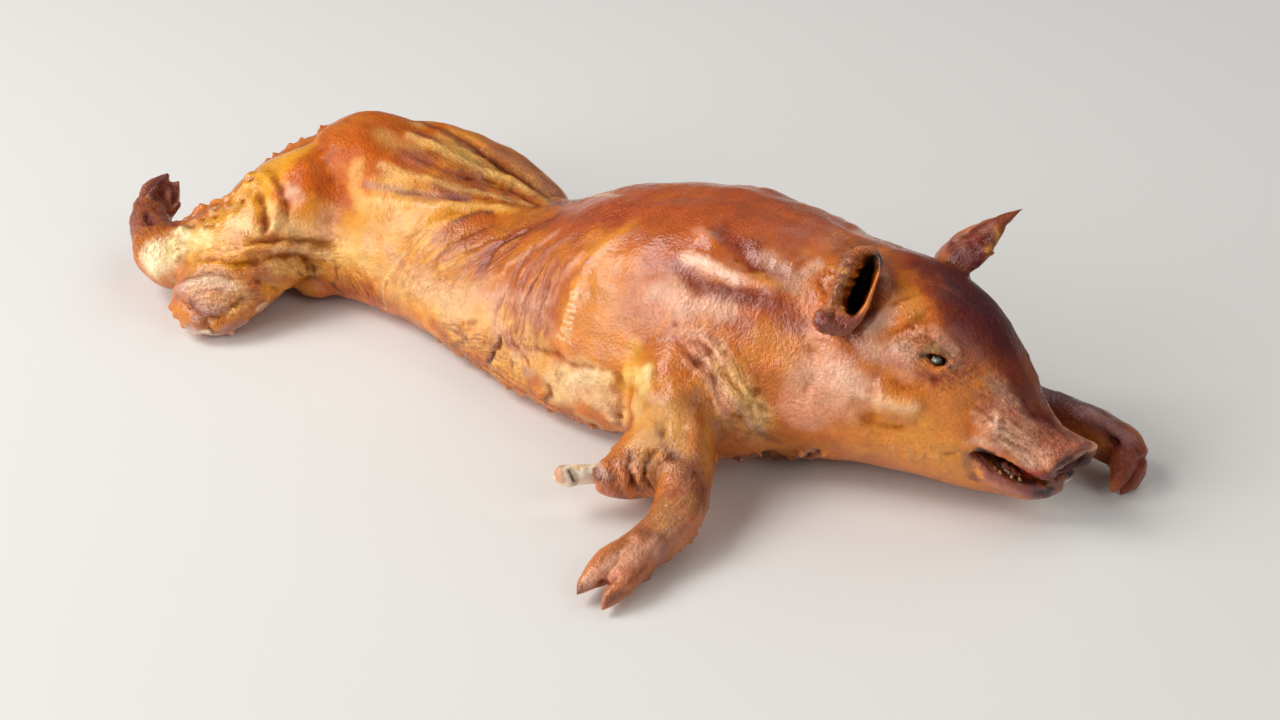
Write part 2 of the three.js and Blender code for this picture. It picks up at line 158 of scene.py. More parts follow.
def addWeights(piece, name, weights, levels=20):
    group = piece.vertex_groups.new(name=name)
    steps = np.round(np.clip(weights, 0, 1) * levels).astype(int)
    for step in range(1, levels + 1):
        group.add(np.nonzero(steps == step)[0].tolist(), step / levels, "REPLACE")
    return group.name


# gradient noise for whole arrays of points, the same on every run
dice = np.random.default_rng(11)
shuffled = np.tile(dice.permutation(256), 2)
slopes = dice.normal(size=(256, 3))
slopes /= np.linalg.norm(slopes, axis=1, keepdims=True)


def noise(points, size, seed=0):
    places = points / size + seed * 31.7
    cells = np.floor(places).astype(int)
    inside = places - cells
    cells &= 255
    ease = inside ** 3 * (inside * (inside * 6 - 15) + 10)
    total = np.zeros(len(points))
    for dx in (0, 1):
        for dy in (0, 1):
            for dz in (0, 1):
                key = shuffled[shuffled[(cells[:, 0] + dx) & 255] + ((cells[:, 1] + dy) & 255)]
                key = shuffled[key + ((cells[:, 2] + dz) & 255)]
                share = abs(1 - dx - ease[:, 0]) * abs(1 - dy - ease[:, 1]) * abs(1 - dz - ease[:, 2])
                total += share * ((inside - (dx, dy, dz)) * slopes[key]).sum(1)
    return total * 1.7


def layeredNoise(points, size, layers=3, seed=0):
    return sum(noise(points, size / 2 ** k, seed + k) / 2 ** k for k in range(layers)) / 1.6


def wander(points, size, reach, seed=0):
    # shifts the places a stroke is measured from, so its edges wander as a hand-made line does
    return points + reach * np.stack([noise(points, size, seed + k) for k in (40, 41, 42)], 1)


def drawn(line, gap=7):
    # a smooth line through the given places, with points about gap apart
    line = np.array(line, float)
    if len(line) == 1:
        return line
    ends = np.vstack([2 * line[0] - line[1], line, 2 * line[-1] - line[-2]])
    out = []
    for a, b, c, d in zip(ends, ends[1:], ends[2:], ends[3:]):
        count = max(1, int(np.linalg.norm(c - b) / gap))
        for t in np.arange(count) / count:
            out.append(0.5 * (2 * b + (c - a) * t + (2 * a - 5 * b + 4 * c - d) * t * t
                              + (3 * b - a - 3 * c + d) * t ** 3))
    return np.array(out + [line[-1]])


def layOn(line, shape):
    # the numbers of the shape's points that lie under a line of places
    numbers = []
    for place in drawn(line):
        if len(place) == 2:
            start, way = sightLine(*map(float, place))
            hit = shape["rays"].ray_cast(start, way)[0]
            if hit is None:          # just past the outline: the point that comes nearest to it
                gaps = shape["points"] - np.array(start)
                ahead = gaps @ np.array(way)
                numbers.append(int(np.argmin((gaps ** 2).sum(1) - ahead ** 2)))
                continue
            place = hit
        numbers.append(shape["tree"].find(Vector(place))[1])
    return np.array(numbers)


def otherSide(numbers, shape):
    # the points opposite, on the other side of the body: behind the head they lie a little lower
    places = shape["points"][numbers] * (1, -1, 1)
    places[:, 2] -= 14 * smoothStep(-140, -220, places[:, 0])
    return np.array([shape["tree"].find(Vector(place))[1] for place in places])


def nearLine(points, line, reach):
    # the points within reach of a line, how far off they are and how far along it from 0 to 1
    near = np.nonzero(((points > line.min(0) - reach) & (points < line.max(0) + reach)).all(1))[0]
    spots = points[near]
    off = np.linalg.norm(spots - line[0], axis=1)
    along = np.zeros(len(near))
    last = max(1, len(line) - 1)
    for k in range(len(line) - 1):
        step = line[k + 1] - line[k]
        t = np.clip((spots - line[k]) @ step / max(step @ step, 1e-9), 0, 1)
        gap = np.linalg.norm(spots - line[k] - t[:, None] * step, axis=1)
        closer = gap < off
        off[closer] = gap[closer]
        along[closer] = (k + t[closer]) / last
    kept = off < reach
    return near[kept], off[kept], along[kept]


def smoothStep(low, high, value):
    t = np.clip((value - low) / (high - low), 0, 1)
    return t * t * (3 - 2 * t)


def readShape(mesh):
    points = readPoints(mesh)
    tree = KDTree(len(points))
    for i, place in enumerate(points):
        tree.insert(place, i)
    tree.balance()
    faces = [tuple(face.vertices) for face in mesh.polygons]
    return {"points": points, "tree": tree, "rays": BVHTree.FromPolygons(points.tolist(), faces)}


# The skin: one closed body, remade from the carcass at a fine, even grain.
skinForm = {
    "grain": 1.7,            # mm between points while the shape is worked
    "quickGrain": 2.6,
    "facetPasses": 90,       # smoothing that rounds the carcass's flat facets off
    "triangles": 188000,     # in the finished mesh
    "swells": ((1.3, 38, 1), (0.7, 17, 2)),            # broad unevenness: mm high, mm wide, seed
    "ripples": ((0.22, 6.5, 3), (0.12, 3.6, 4)),       # the same on top of the folds
    "foldLimits": (-5.5, 6.5),      # mm that folds and knobs add up to at the most
    "wander": 2.4,           # mm that a fold strays from its line
    "lineTaper": 0.22,       # part of a fold's length over which it dies away
    "unevenWidth": 0.3, "unevenHeight": 0.5,
    "twinShare": 0.6,        # strength of a fold or patch repeated on the other side
    "fieldTwinShare": 0.8,   # the same for a field of wrinkles
    "twinBelow": -4,         # mm: only what lies wholly on the right side is repeated
    "wrinkleSqueeze": 0.91,  # wrinkles come out about eleven times as long as they are wide
    "crustShare": 0.5,       # how rough a field of wrinkles is for each mm of its height
    "crustGrain": (0.55, 3.4, 5),        # knobbly crust between wrinkles: share, mm wide, seed
    "underShare": 0.15,      # how much fine relief is left on the side that lies on the table
    "farSide": 45,           # mm: what lies further left is seen less and gets fewer triangles
    # edges of painted patches: how far they wander (mm wide, mm far, seed), for wide patches and
    # for narrow ones, and how ragged they are (strength, mm wide, layers, seed)
    "wideEdge": (22, 7, 5), "narrowEdge": (5, 1.6, 9), "raggedness": (0.22, 9, 3, 12),
    "wideFrom": 9, "plainBelow": 2,      # mm of radius: wide patches, and those with plain edges
    # tones blotched over the ground colour, then the painted skin darkened and paled in a fine
    # mottle: colour or factors, where the noise starts to show, mm wide, layers, seed
    "blotches": (("rust", 0.0, 30, 3, 20), ("honey", 0.0, 26, 3, 24)),
    "mottle": (((0.84, 0.66, 0.58), 0.1, 8, 2, 30), ((1.16, 1.3, 1.36), 0.2, 7, 2, 34)),
    # creases and valleys are painted darker as shade and the tops beside them paler as highlight
    # fine creases and broad valleys: smoothing turns that find them, mm deep, how much they show
    "hollows": ((8, 0.8, 0.75), (60, 3.0, 0.45)),
    "hollowShade": (0.50, 0.34, 0.26), "ridgeHighlight": (1.2, 1.25, 1.3),
    "richness": 1.18,        # how far the painted colours are pulled away from grey
}

# places that keep their crisp form while the facets are smoothed: place, radius in mm, how much
crispPlaces = [
    ((-82, -32, 104), 16, 0.9), ((-82, 31, 104), 16, 0.9),      # eyelids
    ((-20, 0, 38), 34, 0.8), ((-55, -24, 44), 18, 0.85), ((-55, 24, 44), 18, 0.85),
    ((-128, -55, 132), 34, 0.8), ((-128, 55, 132), 40, 0.8), ((-110, 60, 150), 30, 0.8),
    ((-190, -228, 10), 28, 0.95), ((-180, -180, 16), 34, 0.45),  # right foreleg
    ((20, 50, 10), 34, 0.9), ((-740, -50, 52), 40, 0.93), ((-720, 40, 20), 40, 0.93),
    ((-250, -156, 27), 18, 0.7),
]

# In the tables below a stroke is its values, then one line or more for the same values, and last
# the word once if it has no twin on the other side of the body.
once = "worked on one side only"

# where the skin dried and took less glaze: radius mm, how much less, line
dullPlaces = {
    "head": [(36, 0.8, [(930, 270), (985, 310), (1015, 350)]),
             (30, 0.6, [(1000, 420), (1040, 440)]),
             (18, 0.9, [(3, 0, 42)], once),
             (30, 0.7, [(970, 240), (1000, 225)], once)],
    "rump": [(45, 0.7, [(290, 185), (320, 190), (345, 165), (335, 215)]),
             (60, 0.4, [(400, 150), (480, 190)])],
    "legs": [(40, 0.5, [(150, 200), (140, 240)], once),
             (30, 0.2, [(620, 560)], once),
             (26, 0.7, [(630, 395), (650, 420)], once),
             (40, 0.6, [(1120, 450)], once)],
}

# folds, creases and knobs in the skin: width mm, height mm (a groove is negative), line
folds = {"head": [
    (4, 1.8, [(909, 343), (917, 335), (929, 331), (942, 334), (951, 343), (958, 354), (964, 362)]),
    (2, -1.1, [(921, 354), (926, 349), (936, 347), (944, 351), (949, 360)]),
    (2.6, 1.3, [(920, 363), (926, 370), (937, 372), (948, 369), (955, 365)]),
    (2.5, -0.9, [(915, 367), (926, 379), (942, 380), (958, 372)]),
    (13, 3.8, [(871, 396), (891, 401), (909, 404), (921, 411)]),
    (8, -1.3, [(855, 390), (876, 384), (895, 386), (917, 387), (936, 392)]),
    (9, -2.2, [(847, 397), (860, 414), (882, 428), (907, 432)]),
    (3, -0.9, [(858, 416), (876, 435), (890, 446)]),
    (2, 0.8, [(891, 447), (893, 457)], [(907, 449), (909, 459)], [(921, 451), (922, 462)],
     [(935, 453), (938, 463)]),
    (4, 1.5, [(958, 444), (970, 440), (989, 444), (1005, 457), (1021, 469)]),
    (4, 1.6, [(970, 463), (989, 479), (1008, 488), (1030, 495)]),
    (5, 2.0, [(895, 290), (885, 305), (876, 321), (863, 332)]),
    (20, 2.0, [(904, 299), (914, 321)]),
    (2.5, -1.0, [(820, 278), (823, 286), (828, 295)]),
    (3, -1.0, [(847, 338), (852, 347), (861, 357)]),
    (6, -1.0, [(806, 343), (809, 372), (806, 397)]),
    (8, 1.5, [(989, 384), (1005, 400), (1021, 413)]),
    (7, 1.8, [(989, 420), (1002, 431)]),
    (3, 1.2, [(895, 345), (904, 353), (910, 365), (917, 372)]),
    (3, -0.8, [(891, 353), (898, 365), (907, 378)]),
], "ear rims": [
    (2.2, 2.0, [(835, 268), (847, 272), (860, 276)], [(833, 278), (847, 283), (859, 286)],
     [(840, 257), (852, 262), (864, 263)], once),
    (2.2, 1.8, [(835, 287), (847, 292), (857, 291)], [(847, 247), (857, 253), (868, 254)], once),
    (2.5, 1.2, [(819, 327), (828, 323), (841, 327)]),
    (2, -1.6, [(835, 273), (847, 277), (859, 281)], [(837, 263), (850, 267), (862, 270)], once),
    (2, -1.4, [(833, 282), (846, 288), (857, 290)], once),
    (2, -1.2, [(844, 252), (856, 257), (866, 259)], once),
    (3, 1.6, [(824, 299), (818, 315), (816, 324), (822, 334), (835, 338), (847, 336)], once),
    (3, -1.6, [(838, 302), (835, 315), (840, 323), (850, 325)], once),
], "snout": [
    (2.5, 1.1, [(970, 445), (982, 443), (993, 446), (1002, 453), (1013, 460), (1023, 468), (1031, 475),
      (1045, 478)]),
    (3, 1.3, [(973, 451), (982, 464), (991, 475), (1001, 483), (1009, 487), (1023, 490), (1037, 495)]),
    (2.4, 1.4, [(1053, 473), (1058, 467), (1069, 460), (1081, 452), (1095, 447), (1098, 451)], once),
    (2.4, 1.2, [(1098, 451), (1093, 463), (1088, 474), (1079, 485), (1069, 491), (1058, 489), (1053, 482),
      (1053, 473)], once),
    (2, 0.9, [(1011, 395), (1015, 404), (1020, 409)]),
    (2, 0.8, [(1018, 413), (1029, 412), (1042, 410)]),
    (2, -0.8, [(943, 455), (948, 452), (957, 451), (961, 448)]),
    (2, 0.8, [(1029, 422), (1040, 426), (1051, 426)]),
    (2, 0.7, [(1000, 398), (1005, 409), (1009, 416)]),
    (3, 1.2, [(993, 413), (995, 422), (997, 428)]),
    (1.5, -0.8, [(1018, 462), (1023, 464), (1030, 466)], once),
    (1.8, 2.2, [(1037, 489)], once),
    (1.6, 2.0, [(1041, 493)], once),
    (1.8, 2.4, [(1045, 489)], once),
    (1.8, 2.2, [(1044, 497)], once),
    (1.6, 2.0, [(1049, 492)], once),
    (2, -1.2, [(1040, 490)], [(1047, 494)], once),
], "shoulder": [
    (9, 4.2, [(687, 258), (706, 266), (731, 276), (755, 285), (780, 293), (787, 295)]),
    (10, -2.6, [(682, 268), (694, 280), (719, 290), (743, 296), (773, 298), (792, 301)]),
    (9, -2.0, [(728, 236), (743, 256), (755, 266), (780, 276), (789, 282)]),
    (8, 2.4, [(694, 233), (706, 236), (719, 246)]),
    (9, 1.8, [(770, 262), (786, 266), (801, 270)]),
    (5, 1.5, [(763, 270), (773, 280), (780, 286)]),
    (1.8, -2.0, [(673, 325)], once),
    (2.2, 1.9, [(682, 334), (703, 358), (719, 376), (737, 407), (758, 428)]),
    (2.5, -0.8, [(691, 332), (712, 355), (731, 382), (749, 408)]),
    (18, 5.6, [(703, 358), (722, 382), (743, 410)], once),
    (2.2, 1.9, [(700, 334), (725, 358), (743, 388), (758, 410)]),
    (2.5, -0.7, [(688, 349), (706, 370), (726, 401), (746, 428)]),
    (2.2, 1.7, [(682, 358), (697, 376), (712, 401), (731, 428)]),
    (1.8, 0.8, [(681, 362), (694, 366), (709, 377)], [(681, 368), (693, 373), (708, 385)],
     [(680, 374), (692, 380), (706, 392)]),
    (10, 3.0, [(636, 385), (647, 375), (658, 371)], once),
    (6, -1.5, [(655, 388), (670, 390)], once),
    (6, -0.9, [(801, 324), (812, 349), (814, 370), (805, 388)]),
], "foreleg": [
    (3.5, -1.6, [(655, 425), (661, 443), (673, 454), (682, 457)], once),
    (8, 2.4, [(688, 407), (694, 428), (694, 457)], once),
    (3, -2.0, [(631, 451), (628, 466), (633, 479), (639, 490)], once),
    (3, -2.5, [(657, 448), (646, 464), (644, 477), (651, 490), (651, 500)], once),
    (2.5, -1.6, [(675, 457), (659, 464), (649, 474)], once),
    (3, 1.5, [(637, 456), (636, 474), (644, 490)], once),
    (3, 1.2, [(670, 462), (657, 472), (659, 477)], [(620, 454), (620, 469), (626, 482)], once),
    (4, -1.0, [(660, 441), (667, 450), (680, 459)], once),
    (9, -0.5, [(649, 412), (657, 425)], once),
    (8, 1.6, [(636, 407), (626, 422), (620, 438)], once),
    (9, 1.6, [(672, 409), (675, 425), (667, 438)], once),
    (8, 2.0, [(696, 420), (693, 443), (690, 459)], once),
    (7, 2.0, [(628, 537), (644, 539), (659, 548)], once),
    (2, 1.5, [(665, 566)], once),
    (2, 1.6, [(693, 538)], once),
    (3, -3.0, [(601, 590), (610, 581), (621, 575)], once),
    (4, 1.5, [(579, 589), (592, 573), (607, 563), (631, 542)],
     [(600, 605), (613, 591), (633, 581), (649, 565)], once),
    (3, 1.6, [(592, 464), (593, 474), (600, 482)], once),
    (4, 1.2, [(605, 487), (618, 500), (636, 504)], once),
    (2.5, -1.2, [(610, 554), (623, 547), (633, 539)], once),
    (2, -0.8, [(649, 526), (664, 521), (685, 516)], once),
    (3, -1.0, [(690, 469), (701, 482), (703, 500)], once),
], "waist and ribs": [
    (6, 1.1, [(630, 224), (604, 247), (586, 265), (578, 286), (573, 302), (567, 320), (565, 341)]),
    (3, -1.3, [(557, 216), (526, 232), (505, 242), (492, 255), (482, 271)]),
    (2.5, -1.1, [(526, 232), (495, 239), (469, 250), (448, 258)]),
    (2.5, -1.0, [(495, 224), (464, 237), (443, 252), (430, 268)]),
    (3, -1.2, [(536, 242), (521, 265), (510, 286), (500, 304), (495, 320), (495, 343)]),
    (2.5, -1.0, [(552, 252), (536, 276), (526, 299), (519, 320), (518, 341)],
     [(567, 263), (552, 281), (541, 302), (536, 325), (536, 346)]),
    (2.5, 1.0, [(528, 260), (517, 286), (510, 307), (508, 325)]),
    (2.5, 0.9, [(544, 268), (531, 294), (526, 315), (526, 335)]),
    (2.5, 1.0, [(515, 252), (505, 268), (495, 289), (489, 304)]),
    (3, 1.2, [(541, 224), (510, 237), (482, 250), (461, 265)]),
    (1.5, 0.7, [(406, 252), (393, 268), (383, 284), (382, 294), (386, 309)]),
    (3, -3.0, [(501, 335), (497, 348), (489, 360)]),
    (3.5, -1.4, [(453, 329), (466, 321), (487, 322)]),
    (9, 2.0, [(461, 335), (484, 338)]),
    (3.5, 1.6, [(502, 335), (515, 356), (526, 369)]),
    (3, -1.6, [(515, 346), (526, 359), (531, 372)]),
    (5, -1.6, [(526, 349), (547, 352), (567, 361), (591, 368), (612, 370)]),
    (3, -2.0, [(547, 382), (549, 395), (545, 401)]),
    (4, -1.3, [(617, 372), (620, 387), (622, 406), (619, 424)]),
    (2.5, -1.0, [(557, 369), (552, 382)], [(612, 382), (615, 398)]),
    (3, 0.8, [(573, 372), (575, 387), (578, 403)]),
    (1.9, 1.3, [(573, 293), (579, 294)], [(572, 299), (578, 299)], [(570, 304), (577, 306)],
     [(568, 309), (575, 311)], [(566, 315), (573, 317)], [(565, 321), (572, 323)], [(563, 326), (571, 329)],
     [(562, 331), (569, 335)], [(557, 334), (568, 340)]),
], "rump": [
    (4, -2.0, [(418, 118), (449, 131), (475, 147), (499, 164), (525, 181), (546, 197), (563, 205)]),
    (7, 1.9, [(433, 146), (459, 152), (480, 163), (507, 179), (533, 192), (554, 203)]),
    (5, 1.6, [(444, 171), (475, 171), (501, 179), (527, 192), (546, 203)]),
    (3, -1.6, [(467, 177), (486, 179), (507, 188), (527, 199), (543, 206)]),
    (4, 1.2, [(473, 186), (493, 189), (512, 196), (535, 205)]),
    (3, -1.2, [(480, 198), (501, 198), (522, 203), (541, 207)]),
    (8, 1.6, [(407, 236), (433, 216), (459, 205), (486, 205), (522, 212)]),
    (3, -1.0, [(397, 247), (423, 228), (449, 215), (475, 213)]),
    (6, -3.0, [(266, 165), (279, 186), (284, 205), (279, 226), (266, 239)]),
    (8, -1.6, [(308, 134), (315, 152), (326, 171), (339, 186), (352, 205)]),
    (2, 0.7, [(284, 202), (296, 190), (302, 182)]),
    (3, 1.5, [(289, 142)]),
    (3, 1.3, [(329, 145)]),
    (5, -2.6, [(250, 243), (276, 241), (308, 241), (336, 251)]),
    (6, 2.0, [(250, 252), (271, 247), (302, 248), (329, 254), (370, 252)]),
    (4, -2.0, [(250, 258), (274, 254), (295, 257), (313, 268)]),
    (3, -1.2, [(334, 265), (337, 283)], [(355, 268), (365, 283), (370, 299)],
     [(386, 278), (382, 294), (386, 309)]),
    (10, 2.0, [(397, 131), (423, 139), (444, 155)]),
    (6, 1.3, [(407, 135), (446, 153), (490, 174), (533, 195)], once),
    (5, -1.4, [(400, 149), (442, 169), (488, 185), (529, 199)], once),
    (5, 1.1, [(381, 165), (424, 180), (477, 192), (529, 204)], once),
    (4, -1.2, [(368, 185), (416, 193), (468, 199), (512, 206)], once),
    (4, 0.9, [(363, 201), (407, 205), (459, 207), (503, 210)], once),
], "hock, knee lump and hind foot": [
    (2.5, -3.0, [(146, 212), (148, 219), (154, 225)]),
    (3, 1.6, [(150, 208), (158, 219), (161, 227)]),
    (3, 1.2, [(157, 210), (166, 214), (179, 221)]),
    (3, -2.0, [(170, 184), (174, 195), (172, 212)]),
    (2.5, -0.9, [(138, 232), (153, 230), (168, 228)]),
    (4, 2.2, [(175, 231), (185, 229), (190, 236)]),
    (2.5, 1.6, [(174, 238), (185, 239), (198, 241)]),
    (2.5, 1.4, [(172, 247), (183, 249), (194, 247)]),
    (6, 3.2, [(260, 171), (273, 184), (279, 201), (279, 215), (272, 230), (262, 241)]),
    (4, -2.6, [(257, 193), (261, 208), (266, 223), (264, 234)]),
    (5, 2.4, [(183, 260), (203, 254), (224, 256), (240, 256), (253, 252), (268, 247), (292, 249)]),
    (4, -2.6, [(184, 263), (199, 258), (220, 260), (238, 264), (253, 263), (272, 256), (286, 255)]),
    (5, 2.2, [(194, 266), (216, 265), (231, 271), (249, 275), (264, 271)]),
    (3, -1.6, [(175, 286), (198, 275), (220, 276), (238, 279), (257, 279)]),
    (9, 3.0, [(175, 288), (194, 281), (216, 281), (238, 286), (255, 288)]),
    (4, -2.6, [(174, 293), (190, 306), (209, 316), (224, 315), (238, 306), (249, 295)]),
    (6, 2.0, [(170, 300), (181, 317), (198, 323), (212, 323), (231, 316), (257, 306)]),
    (4, 2.0, [(187, 325)], [(198, 329)], [(220, 332)]),
    (4, 2.2, [(231, 332)]),
    (4, 2.0, [(246, 323)]),
    (3, -2.5, [(211, 329), (209, 319)]),
    (3, -1.2, [(257, 278), (268, 286), (279, 290), (305, 290)]),
], "far foreleg": [
    (6, 1.5, [(1082, 408), (1098, 418), (1114, 431), (1131, 443), (1137, 449)], once),
    (3, -1.2, [(1088, 422), (1105, 432), (1116, 440), (1131, 453)], once),
    (3, 1.2, [(1148, 443), (1145, 453), (1137, 460)], once),
    (3, -2.0, [(1113, 468), (1118, 474)], once),
    (5, 1.2, [(1059, 403), (1069, 409), (1068, 422)], once),
], "pits of the rear edge": [
    (2.2, -3.4, [(202, 220)], once),
    (2.4, -2.6, [(207, 225)], once),
    (2.6, -4.0, [(252, 180)], once),
    (2.2, -2.4, [(216, 215)], once),
    (2.4, -2.6, [(241, 195)], once),
    (2.5, -2.0, [(319, 134)], once),
], "crumbs at the nose, left ear": [
    (1.6, 1.6, [(1065, 476)], once),
    (1.4, 1.4, [(1069, 472)], once),
    (1.6, 1.4, [(1076, 465)], once),
    (4, 4.0, [(986, 252), (990, 247)], once),
    (2.5, -1.5, [(984, 238), (988, 234)], once),
    (2, -1.2, [(972, 240), (978, 250)], once),
    (2, 1.2, [(976, 236), (982, 247)], once),
]}

# ragged edges, where skin was cut or has dried into knobs: mm between knobs, their radius, their
# height, how far they scatter from the line, line
raggedEdges = {"rear cut": [
    (7.5, 3.7, 3.2, 3.2, [(181, 239), (193, 224), (203, 220), (212, 215), (224, 204), (233, 200), (240, 196),
      (248, 191), (252, 180), (253, 173)]),
    (6, 4.0, 3.8, 2.2, [(178, 224), (192, 217), (205, 210), (220, 202), (233, 194), (243, 184),
      (252, 172)], once),
    (8, 3.2, 2.4, 3.0, [(203, 232), (216, 222), (231, 211), (242, 205), (253, 195)]),
    (6.5, 3.4, 3.0, 2.4, [(254, 173), (266, 162), (276, 152), (289, 140), (302, 139), (316, 132),
      (326, 126)]),
], "hock fringe": [
    (4.5, 2.4, 2.6, 1.8, [(179, 234), (184, 241), (180, 249), (184, 256), (175, 261)]),
    (5, 2.4, 1.6, 3.0, [(164, 241), (174, 247), (181, 252)]),
], "under the knee": [
    (6, 3.4, 2.2, 1.6, [(173, 314), (178, 324), (194, 332), (223, 335), (235, 329), (253, 318)], once),
    (6, 3.4, 2.2, 3.4, [(170, 302), (179, 319), (194, 326), (207, 332), (224, 333), (238, 327), (253, 315),
      (266, 302)]),
], "belly edge": [
    (5, 2.4, 2.0, 2.4, [(385, 314), (410, 330), (440, 346), (470, 364), (492, 378), (505, 396), (530, 404),
      (556, 420), (590, 436), (608, 442)]),
    (6, 2.6, 1.6, 4.0, [(430, 330), (460, 350), (485, 368), (520, 392)]),
], "breast": [
    (5, 2.6, 3.0, 2.6, [(716, 458), (740, 460), (768, 461), (795, 456), (815, 452), (840, 456)]),
], "elbow cuff": [
    (4.5, 2.2, 1.6, 2.2, [(594, 462), (600, 470), (600, 480), (606, 490), (620, 498), (640, 502)], once),
    (4.5, 2.0, 1.6, 1.6, [(668, 452), (676, 456), (684, 459)], once),
], "shank": [
    (9, 2.0, 1.6, 2.0, [(716, 505), (704, 530), (690, 548), (676, 562), (664, 575)], once),
], "left ear": [
    (4, 1.8, 1.6, 1.2, [(980, 226), (984, 240), (982, 252), (977, 262)], once),
    (3.5, 1.6, 1.2, 1.0, [(1028, 206), (1016, 214), (1004, 222)], once),
], "right ear": [
    (4, 1.6, 1.1, 1.0, [(858, 243), (846, 250), (838, 262), (834, 278), (832, 294), (828, 304)], once),
], "snout and lips": [
    (3.5, 1.6, 0.9, 2.0, [(975, 449), (990, 452), (1006, 460), (1020, 470), (1035, 478), (1048, 482)]),
    (3.5, 1.6, 1.1, 1.6, [(975, 470), (990, 482), (1008, 490), (1026, 496), (1040, 498)]),
    (3.5, 1.6, 1.4, 1.0, [(2, -16, 31), (5, -8, 30), (6, 0, 30), (5, 8, 30), (2, 16, 32)], once),
]}

# fields of fine wrinkles: reach mm, spacing mm, height mm, the colour that gathers in them, how
# much of it, middle line, two places along the way they run
wrinkleFields = [
    (30, 3.0, 0.3, "plumDark", 0.4, [(947, 279), (976, 290), (1005, 316)], [(947, 268), (1005, 316)]),
    (38, 4.5, 0.5, "rust", 0.35, [(539, 229), (500, 250), (461, 265), (422, 265)], [(531, 234), (484, 265)]),
    (38, 3.2, 0.5, "dustyRose", 0.5, [(536, 260), (526, 294), (521, 325)], [(536, 263), (518, 309)]),
    (30, 4.0, 0.35, "rust", 0.4, [(573, 226), (593, 219), (614, 211)], [(604, 206), (552, 242)]),
    (38, 2.8, 0.3, "rose", 0.16, [(651, 297), (688, 309), (731, 309)], [(661, 291), (648, 334)]),
    (26, 3.6, 0.8, "rust", 0.25, [(706, 346), (731, 388), (749, 416)], [(703, 340), (743, 401)]),
    (20, 4.0, 0.8, "umber", 0.5, [(623, 469), (649, 472), (664, 464)], [(644, 454), (641, 495)], once),
    (34, 6.0, 0.5, "deepRust", 0.3, [(433, 165), (486, 176), (533, 197)], [(459, 168), (533, 202)], once),
    (24, 5.0, 0.5, "rust", 0.35, [(212, 260), (268, 256), (329, 252)], [(276, 252), (355, 254)]),
    (26, 3.0, 1.2, "maroon", 0.35, [(998, 401), (1023, 428), (1051, 449)], [(995, 408), (1051, 449)]),
    (18, 3.0, 1.3, "maroon", 0.4, [(920, 346), (936, 365), (958, 372)], [(920, 346), (958, 372)]),
    (16, 4.0, 0.3, "rust", 0.12, [(895, 447), (942, 454)], [(920, 441), (921, 466)]),
    (30, 3.4, 0.8, "oxblood", 0.45, [(138, 197), (138, 219), (148, 238)], [(135, 197), (142, 238)]),
    (26, 3.6, 0.5, "maroon", 0.2, [(690, 485), (659, 526), (623, 568)], [(690, 490), (636, 555)], once),
    (34, 3.8, 0.5, "oxblood", 0.16, [(1059, 403), (1098, 429), (1131, 455)],
     [(1072, 409), (1131, 451)], once),
    (20, 3.6, 1.2, "maroon", 0.35, [(194, 293), (231, 300), (249, 293)], [(194, 300), (238, 297)]),
    (44, 3.2, 0.2, "rosePale", 0.12, [(798, 321), (819, 358), (828, 388)], [(804, 321), (807, 370)]),
    (18, 3.2, 0.9, "umber", 0.45, [(847, 258), (838, 299), (832, 324)], [(838, 277), (860, 283)], once),
    (22, 4.0, 0.2, "rosePale", 0.1, [(562, 382), (578, 387), (604, 403)], [(552, 393), (567, 369)]),
    (10, 3.6, 1.3, "rust", 0.5, [(409, 321), (461, 356), (515, 384), (552, 409), (578, 421), (609, 434)],
     [(409, 321), (461, 356)]),
    (14, 3.4, 0.8, "deepRust", 0.5, [(448, 330), (487, 346), (515, 359)], [(456, 330), (487, 335)]),
    (16, 3.2, 0.7, "cream", 0.3, [(964, 239), (983, 230), (1008, 220)], [(964, 239), (1008, 220)], once),
    (14, 4.0, 0.8, "deepRust", 0.5, [(334, 281), (355, 288), (376, 299)], [(355, 268), (363, 294)]),
    (10, 3.4, 1.6, "oxblood", 0.7, [(731, 459), (773, 462), (810, 451)], [(731, 459), (773, 462)]),
]
